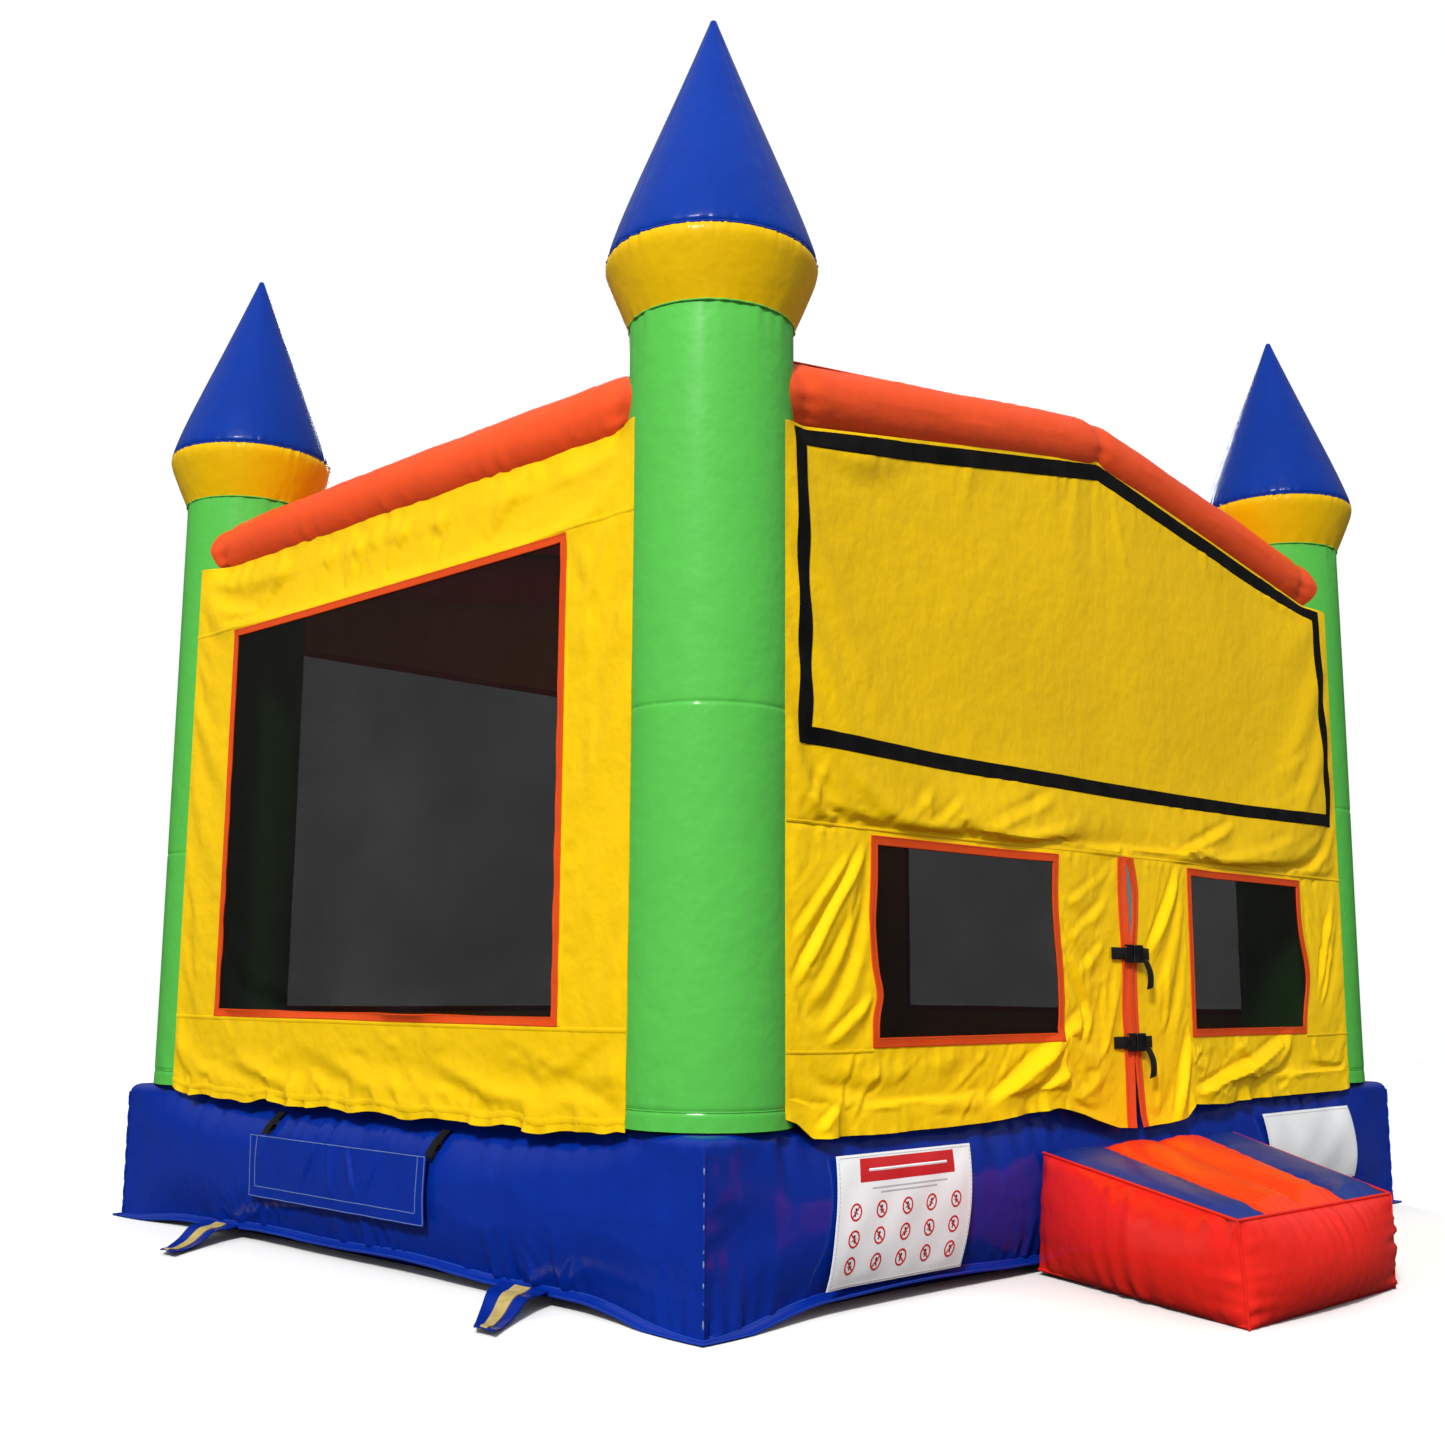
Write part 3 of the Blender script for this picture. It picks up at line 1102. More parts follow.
def settle(sheets, frames=16):
    """Lets every sheet in the list settle as cloth at once, and reads the points back."""
    scene = bpy.context.scene
    work = []
    for number, (sheet, pin) in enumerate(sheets):
        rows, cols = sheet.points.shape[:2]
        obj = make_object(f"cloth_work_{number}", sheet.points.reshape(-1, 3), grid_faces(rows, cols))
        group = obj.vertex_groups.new(name="hold")
        levels = np.round(pin.reshape(-1), 2)
        for level in np.unique(levels):
            group.add([int(i) for i in np.where(levels == level)[0]], float(level), "REPLACE")
        cloth = obj.modifiers.new("cloth", "CLOTH")
        s = cloth.settings
        s.quality = 6
        s.mass = 0.4
        s.air_damping = 4.0
        s.tension_stiffness = 18.0
        s.compression_stiffness = 18.0
        s.shear_stiffness = 8.0
        s.bending_stiffness = 2.5
        s.bending_damping = 1.0
        s.vertex_group_mass = "hold"
        s.pin_stiffness = 1.0
        cloth.collision_settings.use_collision = False
        cloth.collision_settings.use_self_collision = False
        cloth.point_cache.frame_start = 1
        cloth.point_cache.frame_end = frames
        work.append(obj)
    for number in range(1, frames + 1):
        scene.frame_set(number)
    graph = bpy.context.evaluated_depsgraph_get()
    for obj, (sheet, _) in zip(work, sheets):
        moved = obj.evaluated_get(graph).data
        flat = np.empty(len(moved.vertices) * 3, np.float32)
        moved.vertices.foreach_get("co", flat)
        found = flat.reshape(sheet.points.shape).astype(float)
        change = found - sheet.points
        reach = np.linalg.norm(change, axis=-1, keepdims=True)
        print("settled", obj.name, "largest move", round(float(reach.max()), 4))
        sheet.points = sheet.points + change * (0.05 / np.maximum(0.05, reach))
    for obj in work:
        mesh = obj.data
        bpy.data.objects.remove(obj)
        bpy.data.meshes.remove(mesh)
    scene.frame_set(1)


STITCHES = []
SEAMS = []


def window_pieces(name, sheet, window, keep=whole, nodes=()):
    """Splits a settled sheet into its cloth, the bound edge of its window and the netting."""
    low_u, high_u, low_v, high_v = window

    def within(u, v, inset):
        return (u > low_u + inset) & (u < high_u - inset) & (v > low_v + inset) & (v < high_v - inset)

    cloth = "front_cloth" if name.startswith("front") else "yellow_cloth"
    wall = sheet.piece("wall_cover_" + name, lambda u, v: ~within(u, v, 0.0) & keep(u, v), cloth,
                       "yellow_vinyl", CLOTH, replaces=nodes)
    edge = sheet.piece("window_binding_" + name, lambda u, v: within(u, v, 0.0) & ~within(u, v, TRIM), "trim_cloth",
                       "orange_vinyl", 0.006, lift=0.0025, replaces=("window_trim_" + name,))
    net = sheet.piece("window_net_" + name, lambda u, v: within(u, v, TRIM), "net", "mesh_netting", 0.0012,
                      lift=-0.001, replaces=("window_mesh_" + name,))
    for inset in (0.004, TRIM - 0.004):
        path = rectangle(low_u + inset, high_u - inset, low_v + inset, high_v - inset)
        STITCHES.append(stitches(sheet, polyline(path), lift=0.0033))
    for inset in (0.0, TRIM):
        path = rectangle(low_u + inset, high_u - inset, low_v + inset, high_v - inset)
        EDGE_BEADS.append(ribbon(sheet, polyline(path), 0.006, 0.0038, 0.004))


EDGE_BEADS = []


def seam_strip(sheet, path, width=0.014, lift=0.0022):
    SEAMS.append(ribbon(sheet, polyline(path, 0.025), width, lift))


def seams_by_window(sheet, half, window):
    low_u, high_u, low_v, high_v = window
    for v in (high_v + 0.012, low_v - 0.008):
        seam_strip(sheet, [(-half, v), (half, v)])
    for u in (low_u - 0.008, high_u + 0.008):
        seam_strip(sheet, [(u, low_v), (u, high_v)])


FOOT_STRIPS = []


def foot_strip(sheet, low_u, high_u, way, reach):
    """A strip inside the foot of a wall, from the sheet down to the base's top at reach along way."""
    u = np.linspace(low_u, high_u, round((high_u - low_u) / 0.025))
    top = sheet.at(u, 0 * u + 0.53, 0 * u - 0.006)
    way = np.array(way, float)
    low = top * (1 - np.abs(way)) + way * reach
    low[:, 2] = BASE_H - 0.008
    middle = (top + low) / 2 - (0.0, 0.0, 0.006)
    face = [low, middle, top]
    FOOT_STRIPS.append(closed_tube(np.stack(face + [point - (0.0, 0.0, 0.006) for point in face[::-1]], 1)))


def build_walls():
    sides = list(build_side_walls())
    back, back_window = back_wall_sheet()
    gable = gable_sheet()
    front, front_window = front_sheet()
    settle(TO_SETTLE)
    for sheet, _ in TO_SETTLE:
        sheet.refine()
    for name, side, sheet, window in sides:
        window_pieces(name, sheet, window,
                      nodes=("wall_" + name,))
        seams_by_window(sheet, SIDE_END, window)
        seam_strip(sheet, [(-SIDE_END, 0.500), (SIDE_END, 0.500)], 0.02, 0.002)
    window_pieces("back", back, back_window,
                  nodes=("wall_back",))
    seams_by_window(back, FRONT_END, back_window)
    for name, side, sheet, window in sides:
        foot_strip(sheet, -SIDE_END, SIDE_END, (side, 0, 0), HALF_W - 0.14)
        foot_strip(front, *sorted((side * (HINGE_X + 0.02), side * FRONT_END)), (0, -1, 0), HALF_D - 0.11)
    foot_strip(back, -FRONT_END, FRONT_END, (0, 1, 0), HALF_D - 0.11)
    piece("wall_foot_strips", FOOT_STRIPS, "blue_cloth")
    build_front(gable, front, front_window)


def back_wall_sheet():
    window = opening("window_trim_back", 0)
    us, vs, u, v, d = wall_grid(FRONT_END, GABLE_EAVE, window, 0.028, 360)
    d = folds(d, u, v, (
        (-1.40, 0.60, -0.70, 0.70, 0.05, 0.011, 0.6), (-0.30, 0.52, 0.40, 0.68, 0.05, 0.012, 0.6),
        (0.70, 0.55, 1.30, 0.70, 0.05, 0.011, 0.6), (-1.54, 1.00, -1.50, 1.80, 0.04, 0.008, 0.5),
        (1.51, 0.90, 1.55, 1.90, 0.04, 0.008, 0.5), (-0.60, 2.30, -0.20, 2.40, 0.04, 0.010, 0.5),
        (0.50, 2.40, 0.90, 2.30, 0.04, 0.010, 0.5),
    ))
    d = crumples(d, u, v, (
        (371, (-1.65, 1.65, 0.48, 0.72), 60, 0.14, 0.018, 0.0055, 0.5, 0.7),
        (372, (-1.50, 1.50, 2.30, 2.42), 30, 0.16, 0.020, 0.0040, 0.9, 0.6),
    ))
    d = d * smooth((FRONT_END - np.abs(u)) / 0.05) * smooth((GABLE_EAVE - v) / 0.03)
    d = d - 0.042 * smooth((v - GABLE_EAVE + 0.07) / 0.07) * smooth((FRONT_END - np.abs(u)) / 0.14)
    hem = 0.012 * waves(u, 0 * u, 0.35, 367) + 0.026 * smooth((np.abs(u) - FRONT_END + 0.09) / 0.08)
    z = end_height(u, v, BACK_SLOPE) + hem * smooth((0.60 - v) / 0.13)
    sheet = Sheet(us, vs, xyz(u, WALL_Y + d, z), (0, 1, 0))
    TO_SETTLE.append((sheet, wall_pins(u, v, FRONT_END, GABLE_EAVE, window)))
    return sheet, window


BAND_BOTTOM = 1.536


def gable_sheet():
    us = lines([-FRONT_END, FRONT_END], 0.022)
    vs = lines([SEAM, 1.40, BAND_BOTTOM], 0.016)
    vs = np.concatenate([vs, lines([BAND_BOTTOM, BAND_BOTTOM + 0.05, GABLE_EAVE + 0.005], 0.024)[1:]])
    u, v = np.meshgrid(us, vs)
    side = FRONT_END - np.abs(u)
    d = 0.004 * waves(u, v, 0.7, 400)
    d = d + puckers(u, GABLE_EAVE - v, 0.10, 0.004, 0.06, 401)
    d = d + puckers(u, v - SEAM, 0.085, 0.0055, 0.045, 402)
    d = d + puckers(v, side, 0.13, 0.0025, 0.05, 403)
    d = d + puckers(u, np.abs(v - BAND_BOTTOM), 0.16, 0.004, 0.05, 404)
    d = folds(d, u, v, (
        (-0.33, 1.51, -0.80, 1.35, 0.034, 0.020, 0.75), (-0.25, 1.42, -0.62, 1.34, 0.028, 0.010, 0.6),
        (-1.03, 1.47, -1.22, 1.33, 0.030, 0.012, 0.6), (-0.88, 1.45, -1.10, 1.33, 0.026, 0.011, 0.6),
        (-1.50, 1.52, -1.60, 1.33, 0.030, 0.014, 0.6), (-1.36, 1.50, -1.44, 1.33, 0.030, 0.009, 0.5),
        (-1.62, 1.40, -1.50, 1.33, 0.030, 0.009, 0.5), (0.84, 1.50, 0.32, 1.325, 0.030, 0.021, 0.75),
        (1.30, 1.47, 0.66, 1.335, 0.034, 0.015, 0.6), (0.05, 1.50, -0.18, 1.40, 0.040, 0.010, 0.5),
        (0.20, 1.45, 0.50, 1.34, 0.026, 0.008, 0.5), (1.58, 1.50, 1.25, 1.38, 0.035, 0.012, 0.5),
        (1.60, 1.42, 1.40, 1.33, 0.03, 0.010, 0.5), (-1.45, 1.70, -0.90, 2.05, 0.06, 0.006, 0.5),
        (-0.75, 2.10, -0.20, 1.80, 0.06, 0.005, 0.5), (0.35, 1.75, 0.75, 2.15, 0.06, 0.006, 0.5),
        (1.50, 1.68, 1.10, 1.95, 0.05, 0.007, 0.5), (0.80, 1.66, 1.30, 1.78, 0.05, 0.008, 0.5),
        (1.54, 1.84, 0.96, 1.62, 0.032, 0.009, 0.6), (1.54, 1.72, 1.18, 1.60, 0.028, 0.008, 0.6),
        (1.40, 2.02, 0.80, 1.84, 0.040, 0.006, 0.5), (-1.50, 1.60, -1.46, 1.86, 0.022, 0.006, 0.5),
        (-1.40, 1.60, -1.32, 1.80, 0.022, 0.005, 0.5), (0.10, 2.36, 0.20, 2.12, 0.030, 0.006, 0.5),
    ))
    d = crumples(d, u, v, (
        (450, (-1.60, -0.90, 1.33, 1.50), 10, 0.14, 0.016, 0.0036, 1.1, 0.4),
        (451, (-0.90, 0.30, 1.33, 1.50), 10, 0.20, 0.018, 0.0034, 0.6, 0.4),
        (452, (0.30, 1.60, 1.33, 1.50), 10, 0.20, 0.018, 0.0036, 0.6, 0.5),
        (453, (-1.50, 1.50, 1.58, 2.45), 34, 0.30, 0.024, 0.0018, 0.9, 0.8),
    ))
    d = d * smooth(side / 0.04) * smooth((GABLE_EAVE - v) / 0.03) * smooth((v - SEAM) / 0.02 + 0.15)
    forward = 0.020 * (1 - smooth((np.abs(u) - 0.36) / 0.25)) * (1 - smooth((v - SEAM) / 0.16))
    forward = forward - 0.042 * smooth((v - GABLE_EAVE + 0.06) / 0.06) * smooth(side / 0.14)
    points = xyz(u, -(WALL_Y + d + forward), end_height(u, v))
    sheet = Sheet(us, vs, points, (0, -1, 0))
    pin = np.maximum(0.07, 1 - smooth(np.minimum(np.minimum(side, GABLE_EAVE - v), v - SEAM) / 0.035))
    TO_SETTLE.append((sheet, np.clip(pin, 0, 1)))
    return sheet


HINGE_X = 0.378
HEM_X = (-1.69, -1.64, -1.58, -1.20, -0.80, -0.50, -0.44, -0.30, -0.234, -0.10,
         0.0, 0.20, 0.347, 0.40, 0.60, 1.20, 1.60, 1.69)
HEM_Z = (0.520, 0.507, 0.466, 0.464, 0.470, 0.492, 0.496, 0.470, 0.452, 0.420,
         0.413, 0.416, 0.428, 0.470, 0.467, 0.472, 0.470, 0.478)


def front_sheet():
    x0, x1, z0, z1 = opening("window_trim_front_right", 0)
    foot = 0.44
    half = [0.0, 0.05, HINGE_X, x0, x0 + TRIM, x1 - TRIM, x1, FRONT_END]
    us = lines([-value for value in reversed(half)] + half[1:], 0.0155)
    vs = lines([foot, 0.52, z0 - 0.012, z0, z0 + TRIM, z1 - TRIM, z1, SEAM], 0.0155)
    u, v = np.meshgrid(us, vs)
    side = FRONT_END - np.abs(u)
    d = 0.004 * waves(u, v, 0.5, 420)
    d = d + puckers(u, SEAM - v, 0.075, 0.0045, 0.035, 421)
    for name, low_u, high_u in (("left", -x1, -x0), ("right", x0, x1)):
        out_u = np.maximum(np.maximum(low_u - u, u - high_u), 0)
        out_v = np.maximum(np.maximum(z0 - v, v - z1), 0)
        out = np.hypot(out_u, out_v)
        ring = np.where(out_u > out_v, v, u)
        d = d + puckers(ring, out, 0.055, 0.0040, 0.032, 423 + len(name)) * (out > 0)
    d = d + puckers(u, v - foot, 0.15, 0.008, 0.05, 428) * smooth(side / 0.04) * smooth((np.abs(u) - 0.42) / 0.1)
    d = folds(d, u, v, (
        (-1.34, 1.27, -1.655, 0.86, 0.026, 0.022, 0.85), (-1.42, 1.24, -1.66, 0.98, 0.024, 0.014, 0.6),
        (-1.36, 1.10, -1.60, 0.80, 0.030, 0.014, 0.6), (-1.34, 0.84, -1.52, 0.71, 0.024, 0.014, 0.7),
        (-1.35, 0.98, -1.55, 0.74, 0.030, 0.010, 0.5), (-1.48, 0.53, -1.56, 0.46, 0.020, 0.014, 0.7),
        (-1.55, 0.66, -1.10, 0.58, 0.040, 0.009, 0.5), (-1.35, 0.62, -0.90, 0.66, 0.035, 0.009, 0.5),
        (-1.10, 0.52, -0.80, 0.50, 0.030, 0.010, 0.5), (-0.27, 0.78, -0.76, 0.50, 0.040, 0.034, 0.85),
        (-0.36, 0.62, -0.52, 0.53, 0.040, 0.020, 0.5), (-0.20, 0.60, -0.36, 0.47, 0.035, 0.014, 0.6),
        (-0.06, 1.28, -0.40, 1.12, 0.028, 0.012, 0.6), (-0.10, 1.16, -0.40, 1.00, 0.028, 0.012, 0.6),
        (-0.14, 1.02, -0.36, 0.88, 0.028, 0.010, 0.6), (-0.24, 1.00, -0.28, 0.66, 0.026, 0.012, 0.6),
        (-0.14, 0.95, -0.18, 0.60, 0.024, 0.008, 0.5), (0.36, 1.29, 0.12, 0.98, 0.032, 0.022, 0.75),
        (0.30, 1.05, 0.16, 0.80, 0.035, 0.010, 0.5), (0.24, 0.95, 0.22, 0.72, 0.022, 0.010, 0.6),
        (0.40, 0.72, 0.27, 0.44, 0.030, 0.020, 0.75), (0.16, 0.64, 0.14, 0.44, 0.030, 0.010, 0.5),
        (1.26, 0.72, 0.82, 0.575, 0.034, 0.030, 0.85), (0.90, 0.60, 0.42, 0.475, 0.036, 0.036, 0.85),
        (0.70, 0.68, 1.05, 0.60, 0.030, 0.006, 0.5), (1.62, 1.22, 1.42, 0.88, 0.028, 0.016, 0.7),
        (1.60, 1.08, 1.46, 0.80, 0.026, 0.012, 0.6), (1.36, 1.26, 1.52, 1.00, 0.026, 0.009, 0.5),
        (1.34, 0.60, 1.66, 0.575, 0.026, 0.016, 0.7), (1.38, 0.68, 1.42, 0.60, 0.024, 0.010, 0.5),
        (1.00, 0.52, 1.50, 0.53, 0.028, 0.010, 0.5),
    ))
    d = crumples(d, u, v, (
        (440, (-1.66, -1.36, 0.72, 1.28), 8, 0.22, 0.014, 0.0030, 1.05, 0.25),
        (441, (-1.62, -0.80, 0.47, 0.70), 18, 0.14, 0.015, 0.0050, 0.35, 0.7),
        (442, (-0.80, -0.16, 0.47, 0.74), 14, 0.20, 0.015, 0.0055, 0.55, 0.4),
        (443, (-0.40, -0.10, 0.72, 1.28), 9, 0.18, 0.014, 0.0028, 0.95, 0.35),
        (444, (0.12, 0.40, 0.50, 1.28), 8, 0.20, 0.014, 0.0030, 1.15, 0.3),
        (445, (0.42, 1.30, 0.48, 0.70), 20, 0.18, 0.016, 0.0060, 0.30, 0.45),
        (446, (1.34, 1.66, 0.50, 1.28), 11, 0.18, 0.015, 0.0032, 0.95, 0.5),
    ))
    in_window = ((np.abs(u) > x0 + TRIM) & (np.abs(u) < x1 - TRIM) & (v > z0 + TRIM) & (v < z1 - TRIM))
    edge_u = np.maximum(np.maximum(x0 - np.abs(u), np.abs(u) - x1), 0)
    edge_v = np.maximum(np.maximum(z0 - v, v - z1), 0)
    d = d * (0.30 + 0.70 * smooth(np.hypot(edge_u, edge_v) / 0.05))
    d = np.where(in_window, d * 0.3, d)
    d = d * smooth(side / 0.04) * smooth((SEAM - v) / 0.02 + 0.15)
    d = d * np.where(np.abs(u) < HINGE_X + 0.02, 0.55 + 0.45 * smooth(np.abs(np.abs(u) - HINGE_X) / 0.06), 1)
    d = d + 0.008 * np.exp(-(v - foot) / 0.05) * smooth(side / 0.04)
    forward = 0.022 * (1 - smooth((np.abs(u) - 0.40) / 0.25))
    shift = 0.052 * np.exp(-((v - 0.93) / 0.13) ** 2) * smooth((u - 1.05) / 0.2) * smooth((1.62 - u) / 0.25)
    shift = shift + 0.020 * np.exp(-((v - 0.85) / 0.05) ** 2) * smooth((-u - 1.05) / 0.2) * smooth((1.6 + u) / 0.25)
    shift = shift - 0.012 * np.exp(-((v - 1.05) / 0.09) ** 2) * smooth((-u - 1.0) / 0.2) * smooth((1.6 + u) / 0.25)
    beside = smooth((0.75 - np.abs(u + 0.41)) / 0.3)
    shift = shift + 0.012 * np.sin((v - 0.7) / 0.6 * TAU) * beside * np.exp(-((u + 0.41) / 0.12) ** 2)
    hem = np.interp(u, HEM_X, HEM_Z) - foot
    z = v + hem * smooth((0.62 - v) / 0.18)
    points = xyz(u + shift, -(WALL_Y + d + forward), z)
    sheet = Sheet(us, vs, points, (0, -1, 0))
    pin = np.maximum(0.07, 1 - smooth(np.minimum(side, SEAM - v) / 0.03))
    pin = np.maximum(pin, np.exp(-((np.abs(u) - HINGE_X) / 0.012) ** 2))
    pin = np.maximum(pin, 0.8 * np.exp(-((v - 0.52) / 0.015) ** 2) * (np.abs(u) > HINGE_X))
    pin = np.maximum(pin, 0.5 * np.exp(-(u / 0.04) ** 2))
    pin = np.where((np.abs(u) > x0) & (np.abs(u) < x1) & (v > z0) & (v < z1), np.maximum(pin, 0.35), pin)
    TO_SETTLE.append((sheet, np.clip(pin, 0, 1)))
    return sheet, (x0, x1, z0, z1)


def slit_opening(z):
    """Half the gap between the two door flaps at each height."""
    return np.interp(z, (0.41, 0.46, 0.56, 0.66, 0.72, 0.95, 1.02, 1.10, 1.20, 1.27, 1.30),
                     (0.024, 0.017, 0.009, 0.004, 0.002, 0.002, 0.004, 0.014, 0.021, 0.012, 0.004))


def door_sheet(front, side):
    """One door flap, cut from the settled front sheet and drawn aside from the slit."""
    keep = (side * front.us >= -1e-6) & (side * front.us <= HINGE_X + 1e-6)
    sheet = Sheet(front.us[keep], front.vs, front.points[:, keep].copy(), (0, -1, 0))
    u = sheet.us[None, :]
    toward = 1 - np.abs(u) / HINGE_X
    gap = slit_opening(sheet.points[..., 2])
    share = 0.35 if side < 0 else 1.65
    sheet.points[..., 0] += side * gap * share * toward ** 1.5
    sheet.points[..., 1] -= 0.004 * np.exp(-((u - 0.0) / 0.02) ** 2)
    return sheet


BAND = {"left": 0.047, "right": 0.042}


def build_front(gable, front, window):
    x0, x1, z0, z1 = window
    for name, side in (("left", -1), ("right", 1)):
        low_u, high_u = sorted((side * x0, side * x1))
        window_pieces("front_" + name, front, (low_u, high_u, z0, z1),
                      lambda u, v: side * u > HINGE_X, ("wall_front_" + name,))
        seam_strip(front, [(u, z0 - 0.010) for u in sorted((side * FRONT_END, side * x1))], 0.010)
        door = door_sheet(front, side)
        band = BAND[name]
        flap = door.piece("door_cover_" + name, lambda u, v: np.abs(u) > band, "front_cloth", "yellow_vinyl", CLOTH,
                          body="door_" + name, replaces=("door_flap_" + name,))
        edge_piece = door.piece("door_band_" + name, lambda u, v: np.abs(u) < band, "orange_cloth", "orange_vinyl",
                                0.005, lift=0.002, body="door_" + name)
        parts = []
        for u in (0.003, band - 0.003):
            path = polyline([(side * u, 0.441), (side * u, SEAM - 0.002)])
            parts.append(ribbon(door, path, 0.006, 0.0042, 0.004))
        piece("door_band_edge_" + name, parts, "trim_cloth", body="door_" + name)
        rows = [stitches(door, polyline([(side * u, 0.445), (side * u, SEAM - 0.004)]), lift=0.0032)
                for u in (0.009, band - 0.009)]
        piece("door_stitches_" + name, rows, "orange_thread", body="door_" + name)
        build_straps(door, name, side)
    cover = gable.piece("wall_cover_gable", whole, "yellow_cloth", "yellow_vinyl", CLOTH,
                        replaces=("wall_front_gable",))
    seam_strip(gable, [(-FRONT_END, SEAM + 0.004), (FRONT_END, SEAM + 0.004)], 0.010, 0.0035)
    build_banner(gable)


def build_straps(door, name, side):
    """Webbing with its buckle half on one flap, and the hanging tail on the right one."""
    for level in ("upper", "lower"):
        node = f"{level}_strap_{name}"
        low, high = box(node)
        z = (low[2] + high[2]) / 2 if side < 0 else high[2] - 0.025
        face = low[1]
        parts = []
        reach = np.linspace(0.024, 0.118, 12)
        path = xyz(side * reach, face + 0.0015, z)
        path[:, 1] -= 0.003 * np.sin(np.linspace(0, math.pi, 12)) - 0.001
        across = np.array([0, 0, 1.0])
        parts.append(strap(path, across, 0.040, 0.0022))
        if side > 0:
            t = np.linspace(0, 1, 16)
            tail = xyz(0.058 + 0.020 * t + 0.008 * np.sin(t * 4), face - 0.012 - 0.016 * np.sin(t * 2.2),
                       z - 0.012 - 0.105 * t)
            turn = 0.5 * t
            wide = xyz(np.cos(turn), -0.6 * np.sin(turn), 0.25)
            parts.append(strap(tail, wide, 0.030, 0.0018))
            t = np.linspace(0, 1, 10)
            loop = xyz(0.050 + 0.024 * np.sin(t * math.pi), face - 0.018 + 0.018 * t, z + 0.004 - 0.004 * t)
            parts.append(strap(loop, across, 0.034, 0.0020))
        piece(f"{level}_webbing_{name}", parts, "black_strap",
              body="door_" + name, replaces=(node,))


def strap(path, across, width, thickness):
    """A flat strap along a path; across is its width's direction at each point."""
    path = np.asarray(path, float)
    across = unit(np.broadcast_to(np.asarray(across, float), path.shape))
    run = unit(np.gradient(path, axis=0))
    out = unit(np.cross(run, across))
    half, thin = width / 2, thickness / 2
    section = ((-1, -0.4), (-0.94, -1), (0, -1), (0.94, -1), (1, -0.4),
               (1, 0.4), (0.94, 1), (0, 1), (-0.94, 1), (-1, 0.4))
    rings = [path + across * a * half + out * b * thin for a, b in section]
    return closed_tube(np.stack(rings, 1))


def build_banner(gable):
    half, band = 1.635, 0.05
    bottom = BAND_BOTTOM
    top = lambda x: float(gable_top(x))
    strips = [
        ([(-half, bottom + band / 2), (half, bottom + band / 2)]),
        ([(-half + band / 2, bottom), (-half + band / 2, top(half) - 0.006)]),
        ([(half - band / 2, bottom), (half - band / 2, top(half) - 0.006)]),
        ([(-half, top(half) - band / 2 - 0.006), (0.0, top(0) - band / 2 - 0.006)]),
        ([(0.0, top(0) - band / 2 - 0.006), (half, top(half) - band / 2 - 0.006)]),
    ]
    parts = []
    for number, ends in enumerate(strips):
        path = np.array(polyline(ends, 0.02))
        rings = []
        run = unit(np.gradient(path, axis=0))
        across = np.stack([-run[:, 1], run[:, 0]], -1)
        lift = 0.0028 + 0.0006 * (number % 2)
        for side, rise in ((-1, 0.0006), (-0.94, lift), (-0.5, lift), (0, lift), (0.5, lift), (0.94, lift),
                           (1, 0.0006), (1, -0.001), (-1, -0.001)):
            at = path + across * side * band / 2
            flat = end_flat(at[:, 0], at[:, 1])
            rings.append(gable.at(at[:, 0], flat, np.full(len(at), rise)))
        parts.append(closed_tube(np.stack(rings, 1)))
    piece("banner_band", parts, "loop_tape", replaces=("banner_frame",))


def build_sewing():
    piece("wall_seams", SEAMS, "yellow_cloth")
    piece("window_edge_beads", EDGE_BEADS, "trim_cloth")
    piece("sewing_orange_thread", STITCHES, "orange_thread")


# ---------------------------------------------------------------- entry step
def between(corners, s, t):
    """Points of the flat patch between four corners, at s along and t up it."""
    a, b, c, d = (np.array(p, float) for p in corners)
    return (a * ((1 - s) * (1 - t))[..., None] + b * (s * (1 - t))[..., None]
            + c * (s * t)[..., None] + d * ((1 - s) * t)[..., None])


def patch(a, b, c, d, bulge, out, seed, cols=60, rows=30, crease=0.008):
    """A blown four-sided panel between the corners a, b (low) and d, c (high)."""
    s, t = np.meshgrid(np.linspace(0, 1, cols), np.linspace(0, 1, rows))
    flat = between((a, b, c, d), s, t)
    width = (math.dist(a, b) + math.dist(c, d)) / 2
    height = (math.dist(a, d) + math.dist(b, c)) / 2
    rise = bulge * (np.sin(math.pi * s) ** 0.5) * (np.sin(math.pi * t) ** 0.6)
    for away, along in ((s * width, t * height), ((1 - s) * width, t * height),
                        (t * height, s * width), ((1 - t) * height, s * width)):
        seed += 1
        rise = rise + puckers(along, away, 0.065, crease, 0.045, seed) * smooth(away / 0.015)
    edge = np.minimum(np.minimum(s, 1 - s) * width, np.minimum(t, 1 - t) * height)
    rise = rise * smooth(edge / 0.012 + 0.02)
    return flat + rise[..., None] * np.array(out, float)


